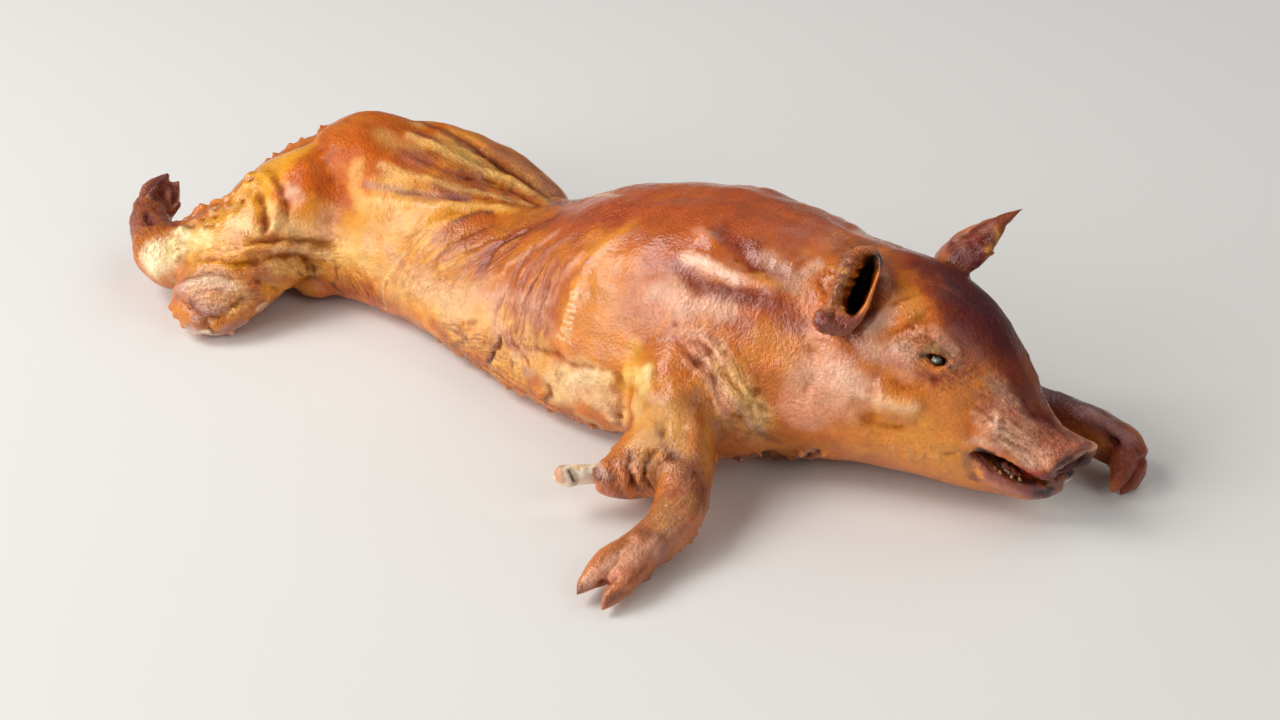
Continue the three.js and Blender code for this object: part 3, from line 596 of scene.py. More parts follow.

# painted patches, first to last, among them painted highlights, sheen and shade: colour, radius mm,
# strength, line
tones = {"broad fields": [
    ("backOrange", 42, 0.85, [(590, 205), (700, 195), (750, 203), (850, 240)]),
    ("backOrange", 30, 0.6, [(570, 215), (680, 240), (740, 240)]),
    ("neckOrange", 34, 0.75, [(760, 300), (800, 350), (820, 400)]),
    ("neckOrange", 26, 0.7, [(850, 250), (900, 262), (905, 300)]),
    ("goldSkin", 28, 0.7, [(600, 260), (600, 320), (612, 365)]),
    ("honey", 34, 0.9, [(400, 250), (470, 320), (520, 350)]),
    ("paleHoney", 20, 0.6, [(440, 300), (480, 330), (530, 350)]),
    ("honey", 20, 0.7, [(330, 262), (450, 255)]),
    ("domeOrange", 32, 0.55, [(320, 160), (360, 150), (380, 180), (340, 190)]),
    ("domeOrange", 22, 0.8, [(300, 190), (310, 220)]),
    ("rust", 11, 0.5, [(360, 139), (407, 160)]),
    ("rust", 9, 0.5, [(321, 142), (329, 155)]),
    ("rust", 8, 0.5, [(321, 186), (344, 205)]),
    ("honey", 22, 0.9, [(372, 212), (400, 200), (425, 215), (400, 235)]),
    ("paleHoney", 12, 0.6, [(376, 186), (391, 179), (397, 192)]),
    ("paleHoney", 7, 0.6, [(357, 165), (355, 186), (360, 205)]),
    ("paleHoney", 7, 0.5, [(363, 205), (397, 210)]),
    ("tan", 9, 0.64, [(381, 134), (397, 145), (418, 147)]),
    ("honey", 7, 0.7, [(428, 146), (478, 163)]),
    ("olive", 8, 0.6, [(459, 156), (554, 203)], once),
    ("honey", 5, 0.7, [(486, 171), (527, 192)]),
    ("deepRust", 5, 0.8, [(418, 120), (449, 133), (475, 148), (546, 197), (563, 205)]),
    ("deepRust", 5, 0.6, [(418, 134), (433, 139), (438, 147)]),
    ("umber", 3, 0.7, [(459, 145), (486, 159), (512, 176)]),
    ("slateBrown", 8, 0.4, [(449, 190), (467, 194)]),
    ("slateBrown", 6, 0.4, [(465, 179), (480, 179), (486, 184)]),
    ("deepRust", 4, 0.6, [(433, 186), (459, 197)]),
    ("dustyRose", 6, 0.5, [(407, 158), (418, 163)]),
    ("dustyRose", 5, 0.5, [(418, 202), (454, 199)]),
    ("flapBrown", 12, 0.8, [(501, 152), (543, 179), (559, 197)]),
    ("tan", 4, 0.56, [(517, 167), (556, 202)]),
    ("rust", 5, 0.6, [(467, 186), (491, 194), (538, 205)]),
    ("honey", 7, 0.7, [(418, 247), (433, 226), (454, 213), (475, 208), (512, 211)]),
    ("rust", 4, 0.6, [(493, 215), (475, 218), (454, 226), (433, 241)]),
    ("umber", 2, 0.7, [(454, 223), (473, 215), (491, 213)]),
], "ham, tendon": [
    ("paleHoney", 18, 0.8, [(285, 225), (360, 252)]),
    ("honey", 16, 0.85, [(200, 252), (300, 262)]),
    ("rosePale", 10, 0.38, [(279, 218), (318, 226)]),
    ("rust", 4, 0.5, [(281, 213), (302, 215), (313, 223)]),
    ("umberOrange", 4, 0.6, [(250, 257), (276, 253), (302, 257), (318, 268)]),
    ("umberOrange", 3, 0.5, [(250, 243), (276, 241), (308, 242), (336, 251)]),
    ("honeyLight", 8, 0.68, [(266, 268), (315, 270)]),
    ("cream", 5, 0.3, [(276, 251), (302, 251), (329, 257)]),
    ("honeyLight", 7, 0.51, [(342, 257), (376, 268)]),
    ("rust", 6, 0.6, [(321, 281), (355, 295)]),
    ("umber", 3, 0.6, [(334, 283), (344, 294)]),
    ("rust", 3, 0.5, [(363, 268), (370, 283), (373, 299)]),
    ("dustyRose", 4, 0.5, [(336, 268), (342, 281)]),
    ("char", 1.6, 0.7, [(306, 266), (309, 270)], [(313, 266), (314, 274)]),
    ("char", 1.4, 0.6, [(298, 271), (302, 275)], [(309, 276), (315, 278)]),
    ("slate", 4, 0.49, [(267, 281), (274, 285)]),
    ("dustyRose", 6, 0.6, [(253, 268), (266, 275)]),
    ("rust", 5, 0.5, [(255, 260), (266, 268)]),
], "cut edge curls": [
    ("rindGold", 22, 0.95, [(270, 165), (232, 215), (210, 232)]),
    ("rindGold", 14, 0.9, [(300, 150), (285, 160)]),
    ("honeyLight", 6, 0.7, [(231, 221), (246, 225), (257, 234)], [(268, 203), (273, 215)]),
    ("cream", 2.5, 0.6, [(235, 197), (240, 190)]),
    ("cream", 2.5, 0.5, [(216, 206), (212, 212)]),
    ("umberOrange", 4, 0.7, [(258, 195), (266, 223), (264, 234)]),
    ("umberOrange", 4, 0.6, [(260, 241), (273, 238), (283, 241)]),
    ("deepRust", 3, 0.8, [(251, 179), (254, 178)]),
    ("deepRust", 2.5, 0.8, [(202, 220), (207, 225)]),
    ("deepRust", 2.5, 0.7, [(199, 215), (205, 213)]),
    ("deepRust", 2, 0.6, [(216, 210), (220, 208)]),
    ("umberOrange", 5, 0.6, [(224, 208), (238, 206), (246, 199)]),
    ("deepRust", 3, 0.5, [(273, 177), (286, 201)]),
    ("rosePale", 3.5, 0.8, [(283, 197), (297, 188)]),
    ("cream", 2, 0.7, [(292, 194), (296, 190)]),
], "hock and hind foot": [
    ("cream", 17, 1.0, [(157, 264), (153, 252), (168, 256)]),
    ("butterCream", 14, 0.8, [(175, 249), (185, 239), (198, 245)]),
    ("cream", 8, 0.9, [(175, 234), (185, 234)]),
    ("hoofBrown", 24, 0.95, [(131, 221), (140, 193), (166, 173)]),
    ("hoofBrown", 22, 0.95, [(144, 223), (175, 217)]),
    ("hoofOrange", 10, 0.7, [(137, 245), (140, 260), (150, 275)]),
    ("hoofOrange", 8, 0.7, [(138, 234), (168, 234)]),
    ("maroon", 6, 0.7, [(157, 180), (153, 195), (163, 199)]),
    ("oxblood", 4, 0.7, [(166, 171), (161, 180), (148, 191)]),
    ("oxblood", 4, 0.8, [(146, 212), (148, 219), (154, 225)]),
    ("umberOrange", 3, 0.6, [(150, 209), (158, 219), (162, 227)]),
    ("dustyRose", 4, 0.6, [(170, 193), (172, 204)]),
    ("oxblood", 4, 0.7, [(175, 188), (179, 221)]),
    ("umberOrange", 5, 0.6, [(142, 269), (161, 293)]),
    ("honey", 14, 0.8, [(198, 264), (231, 271)]),
], "knee lump": [
    ("dustyRose", 12, 0.75, [(179, 289), (235, 289)]),
    ("rosePale", 6, 0.6, [(183, 289), (209, 284), (231, 288)]),
    ("umberOrange", 7, 0.8, [(190, 280), (257, 275)]),
    ("maroonBrown", 4, 0.7, [(190, 302), (209, 315), (224, 313), (240, 306), (249, 295)]),
    ("dustyRose", 3, 0.6, [(205, 308), (216, 310)]),
    ("kneeOrange", 7, 0.9, [(170, 300), (179, 317), (194, 321)]),
    ("kneeOrange", 6, 0.9, [(207, 323), (224, 319), (268, 297)]),
    ("cream", 3, 0.8, [(183, 325), (207, 331)]),
    ("slateRose", 4, 0.7, [(190, 325), (199, 328)]),
    ("slateRose", 5, 0.8, [(224, 330), (246, 323)]),
    ("cream", 2.5, 0.8, [(218, 335), (231, 335)]),
    ("cream", 2.5, 0.7, [(257, 308), (268, 301)]),
    ("umber", 3, 0.7, [(194, 317), (203, 317), (207, 323)]),
    ("honey", 8, 0.8, [(268, 289), (305, 289)]),
], "waist": [
    ("rust", 4, 0.7, [(557, 217), (515, 233), (500, 242)]),
    ("rust", 7, 0.8, [(500, 243), (489, 252), (482, 273)]),
    ("rust", 4, 0.6, [(515, 234), (526, 232), (539, 226)]),
    ("umber", 1.8, 0.7, [(528, 230), (515, 239), (500, 245)], [(484, 229), (461, 241), (440, 256)]),
    ("rust", 3.5, 0.6, [(492, 226), (456, 247)]),
    ("umber", 1.6, 0.6, [(549, 222), (534, 232), (521, 239)]),
    ("char", 2, 0.8, [(561, 215), (552, 222)]),
    ("rust", 3, 0.5, [(404, 263), (396, 273), (393, 281)]),
    ("rust", 4, 0.5, [(474, 265), (461, 273), (453, 286)]),
    ("rust", 3, 0.4, [(448, 252), (435, 260), (425, 271)]),
    ("dustyRose", 5, 0.6, [(531, 252), (515, 271), (497, 307)], [(552, 268), (539, 289), (531, 309)]),
    ("deepRust", 2, 0.5, [(539, 258), (523, 278), (515, 299)], [(562, 276), (552, 294), (544, 312)]),
    ("dustyRose", 4, 0.5, [(573, 268), (560, 284), (549, 304)], [(495, 307), (492, 346)]),
    ("rust", 4, 0.5, [(536, 304), (536, 343)]),
    ("rust", 3, 0.6, [(523, 325), (523, 343)]),
    ("rose", 3, 0.5, [(519, 304), (518, 325), (515, 343)]),
    ("honey", 7, 0.4, [(630, 224), (586, 265), (567, 320), (565, 338)]),
    ("cream", 1.1, 0.5, [(406, 252), (393, 268), (383, 284), (382, 294), (386, 309)]),
    ("rosePale", 5, 0.45, [(386, 247), (396, 260)]),
    ("honeyLight", 10, 0.51, [(409, 289), (456, 302)]),
    ("rust", 6, 0.6, [(432, 325), (448, 341), (469, 356), (487, 361)]),
    ("umberOrange", 5, 0.7, [(401, 317), (443, 346)]),
    ("goldSkin", 8, 0.6, [(458, 330), (479, 335), (487, 343)]),
    ("umber", 3, 0.6, [(456, 330), (469, 338), (453, 346)]),
    ("deepRust", 4, 0.9, [(501, 335), (497, 348), (489, 360)]),
    ("char", 1.8, 0.7, [(495, 355), (489, 360)]),
    ("slateRose", 4, 0.45, [(510, 343), (523, 351), (515, 356)]),
    ("rosePale", 4, 0.45, [(523, 356), (536, 351)]),
    ("rust", 4, 0.7, [(510, 330), (505, 338), (515, 348)]),
    ("umber", 3, 0.6, [(513, 359), (512, 369)]),
    ("slateRose", 4, 0.52, [(526, 372), (534, 374)]),
    ("rust", 5, 0.7, [(531, 382), (547, 380), (552, 395)]),
    ("deepRust", 3, 0.9, [(548, 385), (551, 395), (545, 401)]),
    ("beige", 15, 0.95, [(562, 387), (578, 382), (612, 408)]),
    ("beige", 10, 0.9, [(552, 372), (567, 369), (609, 382)]),
    ("cream", 5, 0.3, [(573, 377), (593, 382)]),
    ("rust", 3, 0.5, [(526, 349), (547, 352), (567, 363), (591, 369)]),
    ("deepRust", 2, 0.5, [(562, 372), (557, 382)]),
    ("umberOrange", 2.5, 0.6, [(586, 387), (591, 395)]),
    ("umberOrange", 5, 0.7, [(565, 411), (614, 434)]),
    ("butter", 4, 0.36, [(578, 416), (604, 429)]),
    ("umberOrange", 4, 0.7, [(615, 372), (619, 387), (621, 406), (618, 424)]),
    ("rosePale", 2.5, 0.45, [(612, 387), (617, 395)]),
    ("umber", 3, 0.5, [(609, 400), (614, 416)]),
    ("cream", 1.3, 0.6, [(573, 293), (579, 294)], [(572, 299), (578, 299)], [(570, 304), (577, 306)],
     [(568, 309), (575, 311)], [(566, 315), (573, 317)], [(565, 321), (572, 323)], [(563, 326), (571, 329)],
     [(562, 331), (569, 335)], [(557, 334), (568, 340)]),
], "ribs to shoulder, back": [
    ("rosePale", 14, 0.38, [(645, 297), (670, 306), (691, 303)]),
    ("dustyRose", 12, 0.4, [(630, 303), (639, 321)]),
    ("butter", 7, 0.42, [(636, 346), (624, 388)]),
    ("butter", 7, 0.48, [(648, 370), (636, 385)], once),
    ("cream", 4, 0.36, [(642, 382), (651, 373)], once),
    ("slateRose", 5, 0.3, [(673, 327), (667, 340)]),
    ("rust", 6, 0.5, [(578, 215), (621, 221)]),
    ("dustyRose", 5, 0.4, [(633, 233), (639, 236)]),
    # a pale painted highlight along the top of the back
    ("fatStreak", 3, 0.39, [(587, 198), (606, 194), (618, 197)]),
    ("rust", 16, 0.6, [(682, 215), (731, 209)]),
    ("rust", 14, 0.5, [(651, 236), (670, 248), (664, 260)]),
    ("oxRose", 14, 0.6, [(743, 218), (792, 236)]),
    ("oxRose", 10, 0.5, [(755, 242), (780, 245), (792, 257)]),
    ("deepRust", 10, 0.7, [(731, 242), (755, 263), (780, 277)]),
    ("deepRust", 8, 0.7, [(676, 263), (691, 280), (715, 290), (773, 298)]),
    ("deepRust", 8, 0.6, [(783, 270), (792, 279)]),
    ("rosePale", 5, 0.6, [(691, 258), (746, 282)]),
    ("rosePale", 4, 0.45, [(755, 285), (776, 291)]),
    ("rosePale", 5, 0.45, [(697, 231), (709, 236)]),
    ("honey", 5, 0.5, [(761, 276), (783, 288)]),
    ("char", 1, 0.7, [(740, 282), (743, 285)]),
    ("rust", 14, 0.5, [(743, 309), (786, 306)]),
    ("oxRose", 8, 0.4, [(719, 318), (743, 327)]),
    ("rosePale", 8, 0.38, [(706, 303), (725, 306)]),
    ("rosePale", 6, 0.38, [(694, 334), (719, 346)]),
    ("goldSkin", 16, 0.5, [(773, 334), (792, 346)]),
    ("rosePale", 16, 0.45, [(822, 346), (834, 388)]),
    ("domeOrange", 16, 0.5, [(792, 413), (834, 431)]),
], "armpit": [
    ("tan", 16, 0.6, [(719, 419), (737, 407), (755, 431)]),
    ("beige", 10, 0.55, [(712, 358), (749, 398), (761, 419)]),
    ("butterCream", 8, 0.25, [(725, 370), (752, 413)]),
    ("rosePale", 7, 0.6, [(697, 334), (725, 361)]),
    ("rosePale", 6, 0.5, [(694, 364), (706, 385), (725, 407)]),
    ("dustyRose", 2, 0.6, [(691, 346), (712, 373), (731, 407)], [(700, 370), (731, 419)]),
    ("umberOrange", 2, 0.6, [(688, 330), (706, 349), (725, 373)]),
    ("slateRose", 3, 0.5, [(731, 398), (761, 434)]),
    ("slateRose", 4, 0.45, [(712, 425), (719, 443)]),
    ("umber", 3, 0.6, [(761, 434), (780, 443)]),
    ("umberOrange", 4, 0.6, [(773, 434), (822, 446)]),
    ("maroon", 5, 0.8, [(737, 457), (767, 460), (792, 459), (816, 451)]),
    ("rosePale", 2, 0.6, [(743, 457), (758, 462)], [(804, 451), (816, 449)]),
], "foreleg": [
    ("armTan", 22, 0.9, [(642, 407), (661, 419), (651, 443)], once),
    ("armTan", 18, 0.9, [(682, 419), (694, 443), (694, 468)], once),
    ("armBrown", 9, 0.8, [(688, 401), (697, 416)], once),
    ("maroonBrown", 5, 0.4, [(694, 410), (697, 419)], once),
    ("rosePale", 4, 0.45, [(651, 398), (664, 399)], once),
    ("umber", 2.5, 0.45, [(655, 425), (661, 443), (673, 454)], once),
    ("armBrown", 8, 0.7, [(691, 431), (694, 455)], once),
    ("armOrange", 6, 0.7, [(698, 417), (693, 448)], once),
    ("rosePale", 7, 0.38, [(623, 464), (631, 472), (623, 482)], once),
    ("umber", 2, 0.7, [(631, 451), (628, 466), (633, 479), (639, 490)], once),
    ("umber", 2.2, 0.8, [(657, 448), (646, 464), (644, 477), (651, 490), (651, 500)], once),
    ("umber", 2, 0.6, [(675, 457), (659, 464)], once),
    ("maroonBrown", 6, 0.6, [(670, 456), (677, 459)], once),
    ("rosePale", 3, 0.45, [(637, 464), (636, 474)], once),
    ("maroon", 6, 0.8, [(594, 466), (600, 477), (607, 479)], once),
    ("maroonBrown", 6, 0.7, [(610, 490), (623, 498), (641, 502)], once),
    ("dustyRose", 4, 0.7, [(605, 485), (613, 495)], once),
    ("maroonBrown", 8, 0.6, [(649, 490), (654, 482)], once),
    ("legBrown", 22, 0.95, [(696, 485), (659, 531)], once),
    ("legBrown", 20, 0.95, [(639, 547), (597, 583)], once),
    ("maroonBrown", 9, 0.6, [(690, 472), (698, 482), (701, 500)], once),
    ("oxRose", 8, 0.5, [(675, 495), (690, 513), (680, 526)], once),
    ("tan", 7, 0.4, [(667, 505), (659, 521)], once),
    ("maroonBrown", 6, 0.6, [(636, 531), (664, 542)], once),
    ("slateRose", 6, 0.45, [(657, 552), (662, 557)], once),
    ("rosePale", 4, 0.38, [(633, 542), (631, 550)], [(597, 570), (587, 583)], once),
    ("oxRose", 6, 0.6, [(631, 578), (644, 568)], once),
    ("maroon", 4, 0.6, [(607, 604), (620, 594)], [(579, 590), (587, 586)], once),
    ("umber", 2, 0.7, [(692, 539)], once),
], "head": [
    ("faceRust", 34, 0.8, [(989, 290), (996, 321), (977, 337)]),
    ("faceRust", 20, 0.8, [(926, 258), (942, 309)]),
    ("cheekGold", 30, 0.9, [(904, 422), (951, 403)]),
    ("cheekGold", 26, 0.8, [(945, 441), (926, 457), (977, 473)]),
    ("neckOrange", 14, 0.7, [(914, 299), (917, 318)]),
    ("browGold", 9, 0.6, [(910, 296), (914, 312)]),
    ("plum", 20, 0.85, [(951, 268), (977, 309)]),
    ("plum", 16, 0.85, [(989, 302), (1015, 331)]),
    ("plumDark", 9, 0.6, [(977, 280), (996, 296), (1008, 321)]),
    ("maroon", 12, 0.6, [(945, 309), (964, 331), (989, 343)]),
    # painted sheen on the neck
    ("rosePale", 10, 0.41, [(832, 372), (844, 365), (850, 384)]),
    ("rosePale", 8, 0.45, [(885, 346), (907, 372)]),
    ("rosePale", 5, 0.25, [(904, 340), (926, 333), (945, 337), (955, 350)]),
    ("eyeAsh", 8, 0.4, [(907, 350), (910, 362)]),
    ("eyeAsh", 5, 0.35, [(939, 340), (951, 350), (958, 365)]),
    ("oxRose", 5, 0.6, [(920, 375), (936, 381), (958, 375)]),
    # painted shade under the upper lid and in the eye opening
    ("char", 2, 0.6, [(921, 354), (936, 348), (948, 357)]),
    ("char", 1.9, 0.95, [(920, 356), (926, 355), (936, 357), (944, 360), (950, 366)]),
    # painted highlight on the cheek bulge
    ("honeyLight", 9, 0.35, [(879, 402), (910, 408)]),
    ("rosePale", 2.5, 0.45, [(891, 447), (895, 458)], [(909, 450), (910, 460)]),
    ("rosePale", 3, 0.38, [(926, 455), (942, 454)]),
    ("oxRose", 2, 0.6, [(942, 454), (958, 452)]),
    ("maroon", 1.6, 0.8, [(899, 437)]),
    ("rust", 4, 0.4, [(885, 413), (895, 416)]),
    ("deepRust", 2, 0.5, [(876, 359), (895, 362)]),
    ("umberOrange", 8, 0.6, [(863, 466), (895, 469), (932, 479)]),
    ("honey", 6, 0.5, [(977, 469), (964, 447)]),
], "muzzle": [
    ("muzzleTan", 15, 0.85, [(1000, 401), (1026, 446)]),
    ("muzzleTan", 12, 0.8, [(1002, 438), (1018, 452), (1037, 458)]),
    ("eyeAsh", 6, 0.6, [(995, 388), (1023, 398)]),
    ("maroon", 6, 0.85, [(1026, 417), (1048, 420)]),
    ("maroon", 5, 0.8, [(1054, 431), (1076, 441)]),
    ("rosePale", 4, 0.6, [(993, 415), (998, 428)]),
    ("rosePale", 3, 0.45, [(970, 439), (990, 442)]),
    ("rosePale", 4, 0.45, [(1037, 449), (1048, 458)]),
    ("snoutRed", 3.5, 0.8, [(1029, 471), (1040, 476), (1049, 477)]),
    ("snoutRed", 4, 0.6, [(1060, 446), (1073, 449), (1084, 446)]),
    ("slate", 2.5, 0.49, [(1022, 463), (1026, 464)]),
    ("maroon", 2, 0.6, [(986, 406), (990, 408)]),
    # painted shade along the mouth slit
    ("char", 3, 0.9, [(982, 449), (998, 458), (1026, 480), (1037, 487)]),
    ("lipPurple", 3, 0.8, [(980, 464), (990, 476), (1000, 484)]),
    ("lipPurple", 4, 0.8, [(1002, 489), (1018, 491), (1031, 495)]),
    ("muzzleTan", 3, 0.7, [(1018, 494), (1029, 496)]),
    ("char", 4, 0.8, [(1042, 489), (1049, 498), (1037, 500)]),
    ("oxblood", 2, 0.6, [(968, 476), (975, 477)]),
    ("noseDark", 12, 0.95, [(1065, 474), (1084, 460), (1070, 482)], once),
    ("tan", 2, 0.48, [(1084, 477), (1074, 487), (1065, 491)], once),
], "ears": [
    ("earTan", 12, 0.85, [(847, 252), (838, 290)]),
    ("earTan", 9, 0.8, [(863, 245), (873, 247), (882, 258)]),
    ("butter", 2, 0.36, [(835, 278), (859, 287)]),
    ("butter", 2, 0.3, [(833, 268), (860, 276)]),
    ("earRed", 12, 0.9, [(819, 321), (847, 331), (869, 321)]),
    ("earRed", 8, 0.7, [(885, 268), (888, 283), (876, 309)]),
    ("rosePale", 3, 0.38, [(885, 277), (890, 290)]),
    # painted shade: the hollow of the right ear painted near-black
    ("char", 7, 1.0, [(868, 268), (852, 309)], once),
    ("char", 5, 1.0, [(876, 261), (863, 271), (850, 315)], once),
    ("oxblood", 3, 0.6, [(819, 321), (822, 331), (835, 334)]),
    ("earRed", 15, 0.9, [(964, 242), (977, 236), (983, 258)], once),
    ("earRed", 10, 0.8, [(996, 223), (1008, 220)], once),
    ("rosePale", 3, 0.52, [(958, 242), (964, 252), (970, 258)], once),
    ("rosePale", 3, 0.45, [(980, 233), (989, 227)], once),
    ("earTip", 7, 0.8, [(1008, 217), (1029, 205)], once),
    ("tan", 4, 0.64, [(996, 236), (996, 252), (989, 258)], once),
    # painted shade deep in the right ear's hollow
    ("char", 8, 1.0, [(878, 258), (868, 272), (851, 313)], once),
    ("char", 5, 1.0, [(861, 280), (853, 292), (849, 304)], once),
    ("umber", 5, 0.5, [(849, 283), (845, 297), (845, 308)], once),
    ("earTan", 3, 0.6, [(878, 262), (872, 285), (866, 300)], once),
], "mouth": [
    # painted shade inside the open mouth, with maroon along its edge
    ("char", 4.5, 1.0, [(980, 450), (1016, 479), (1038, 490)]),
    ("char", 3.5, 1.0, [(984, 448), (1034, 481)]),
    ("maroon", 3.5, 0.8, [(978, 453), (984, 462), (992, 470), (1003, 478), (1026, 490)]),
    ("rosePale", 1.6, 0.7, [(980, 457), (987, 466), (996, 474)]),
    ("slateRose", 1.6, 0.6, [(996, 462), (1000, 467)]),
    ("dustyRose", 2.2, 0.7, [(1003, 470), (1008, 474)]),
    ("snoutRed", 3, 0.8, [(1022, 468), (1032, 474), (1042, 477)]),
    ("snoutRed", 2.5, 0.7, [(1026, 488), (1034, 493)]),
    ("char", 2, 0.8, [(1042, 484), (1050, 488)], once),
    ("maroon", 4, 0.7, [(965, 452), (970, 470), (975, 480)]),
], "far foreleg": [
    ("farBrown", 34, 0.95, [(1040, 386), (1082, 409)], once),
    ("farBrown", 30, 0.95, [(1111, 429), (1137, 461)], once),
    ("farRed", 12, 0.9, [(1124, 471), (1132, 481), (1137, 469)], once),
    ("farRed", 8, 0.8, [(1103, 461), (1108, 466)], once),
    ("plum", 9, 0.6, [(1075, 393), (1093, 403)], once),
    ("dustyRose", 6, 0.4, [(1085, 413), (1093, 418)], once),
    # a painted sheen band along the far foreleg
    ("slateRose", 7, 0.45, [(1085, 412), (1132, 444)], once),
    ("umberOrange", 7, 0.5, [(1075, 431), (1101, 443)], once),
    ("oxblood", 3, 0.6, [(1088, 422), (1103, 431), (1119, 443)], once),
], "rump and hind leg, sheen and browning": [
    ("fringe", 4, 0.8, [(180, 327), (223, 335), (238, 330), (253, 318)]),
    ("fringe", 3, 0.6, [(260, 309), (271, 305)]),
    ("maroonBrown", 3, 0.7, [(197, 322), (205, 325)]),
    ("umber", 2.4, 0.7, [(210, 328), (212, 332)]),
    ("fringe", 6, 0.45, [(187, 286), (207, 281), (230, 288)]),
    ("beige", 12, 0.6, [(281, 227), (346, 233)]),
    ("honey", 12, 0.5, [(302, 209), (359, 224)]),
    ("rosePale", 7, 0.6, [(289, 189), (298, 200)]),
    ("rosePale", 9, 0.6, [(330, 215), (325, 232)]),
    ("rosePale", 8, 0.5, [(205, 303), (225, 303)]),
    ("beige", 9, 0.45, [(194, 286), (215, 283), (235, 288)]),
    ("paleHoney", 9, 0.4, [(205, 300), (228, 304), (248, 298)]),
    ("slateRose", 4, 0.5, [(197, 306), (210, 311), (223, 306)]),
    ("honeyLight", 9, 0.35, [(179, 237), (194, 237)]),
    ("honey", 6, 0.5, [(243, 188), (210, 219), (194, 229)], once),
    ("paleHoney", 4, 0.5, [(248, 193), (230, 209)], once),
], "head, sheen and browning": [
    ("rosePale", 18, 0.45, [(807, 415), (818, 393), (837, 378)]),
    ("sheenPink", 7, 0.45, [(866, 349), (888, 356), (910, 351)]),
    ("sheenPink", 4, 0.35, [(879, 400), (914, 407)]),
    ("sheenPink", 6, 0.5, [(807, 272), (818, 265)]),
    ("faceRust", 12, 0.6, [(910, 261), (939, 270)]),
    ("oxblood", 7, 0.7, [(1021, 410), (1046, 426)]),
    ("plum", 6, 0.5, [(1012, 385), (1021, 396)]),
    ("slateBrown", 6, 0.6, [(1055, 424), (1088, 446)]),
    ("sheenPink", 5, 0.8, [(990, 417), (1000, 432)]),
    ("sheenPink", 3, 0.6, [(968, 440), (984, 441), (1000, 444)]),
    ("snoutRed", 4, 0.7, [(1016, 465), (1048, 478)]),
    ("noseDark", 13, 0.95, [(3, -10, 42), (3, 0, 44), (3, 10, 42)], once),
    ("nosePale", 2.4, 0.8, [(1054, 473), (1058, 467), (1069, 461), (1081, 452), (1094, 448)], once),
    ("tan", 2.2, 0.7, [(1066, 490), (1074, 487), (1083, 479), (1089, 470)], once),
    ("char", 2.4, 0.9, [(1066, 478), (1072, 473)], once),
    ("lipPurple", 5, 0.8, [(970, 453), (998, 480), (1014, 489), (1032, 495)]),
    ("maroon", 6, 0.6, [(954, 243), (990, 221)], once),
    ("maroon", 5, 0.6, [(961, 255), (979, 260)], once),
    ("rosePale", 2.4, 0.6, [(956, 241), (968, 230), (983, 221)], once),
    ("eyeAsh", 4, 0.3, [(921, 349), (936, 345), (950, 353)]),
    ("olive", 2.4, 0.4, [(925, 351), (937, 348)]),
    ("plum", 22, 0.7, [(950, 274), (994, 312)]),
    ("plum", 14, 0.7, [(998, 305), (1016, 342)]),
    ("maroon", 14, 0.5, [(921, 261), (958, 261)]),
    ("maroon", 8, 0.6, [(1027, 353), (1053, 404)]),
    ("rosePale", 7, 0.6, [(1009, 438), (1044, 456)]),
    ("maroon", 6, 0.7, [(1028, 417), (1042, 423)]),
    # painted shade in the corners of the eye
    ("char", 2.2, 0.9, [(921, 356), (926, 354)], [(945, 359), (949, 362)]),
    ("rosePale", 6, 0.5, [(1000, 425), (1020, 440), (1040, 450)]),
    ("sheenPink", 2.5, 0.5, [(1010, 440), (1030, 445)]),
], "shoulder and foreleg, sheen and browning": [
    ("beige", 10, 0.5, [(633, 405), (645, 423), (636, 439)], once),
    ("butterCream", 7, 0.6, [(625, 378), (648, 374), (645, 389)], once),
    ("umber", 3, 0.3, [(666, 417), (661, 434)], once),
    ("sheenPink", 4, 0.5, [(587, 585), (624, 553)], once),
    ("sheenPink", 3, 0.5, [(599, 466), (604, 476)], once),
    ("deepRust", 9, 0.5, [(720, 231), (790, 283)]),
    ("deepRust", 8, 0.5, [(724, 290), (753, 298), (798, 324)]),
    ("sheenPink", 6, 0.6, [(686, 257), (735, 282)]),
    ("sheenPink", 8, 0.45, [(768, 259), (798, 287)]),
    ("sheenPink", 11, 0.45, [(657, 287), (720, 310)]),
    ("dustyRose", 8, 0.6, [(630, 560), (600, 590)], once),
    ("dustyRose", 9, 0.5, [(680, 520), (660, 545)], once),
    ("rosePale", 6, 0.5, [(600, 578), (640, 548)], once),
    ("tan", 7, 0.4, [(690, 500), (665, 530)], once),
    ("rosePale", 6, 0.4, [(655, 545), (635, 560)], once),
    ("dustyRose", 6, 0.5, [(679, 339), (716, 387)], once),
], "waist and ribs, sheen and browning": [
    ("honeyLight", 5, 0.5, [(409, 136), (533, 196)], once),
    ("oxRose", 4, 0.6, [(400, 149), (442, 169), (529, 199)], once),
    ("honeyLight", 4, 0.45, [(381, 165), (424, 180), (529, 204)], once),
    ("slateRose", 4, 0.5, [(368, 185), (416, 193), (468, 199)], once),
    ("honeyLight", 4, 0.4, [(363, 201), (503, 210)], once),
    ("rosePale", 10, 0.35, [(530, 310), (550, 330)]),
    ("rust", 3.5, 0.7, [(549, 226), (524, 240), (485, 267), (474, 280)]),
    ("oxRose", 3, 0.6, [(566, 237), (546, 251), (532, 269), (521, 291), (517, 312)]),
    ("rosePale", 4, 0.6, [(557, 233), (510, 264)], [(582, 258), (560, 276), (546, 298), (539, 323)]),
    ("oxRose", 3, 0.6, [(589, 262), (567, 283), (553, 308), (546, 337)]),
    ("rosePale", 5, 0.5, [(488, 298), (514, 294), (524, 305)]),
    ("umberOrange", 5, 0.6, [(440, 345), (470, 357), (500, 382)]),
    ("rosePale", 8, 0.5, [(470, 300), (482, 290), (500, 330)]),
    ("beige", 16, 0.4, [(392, 280), (427, 298), (463, 301)]),
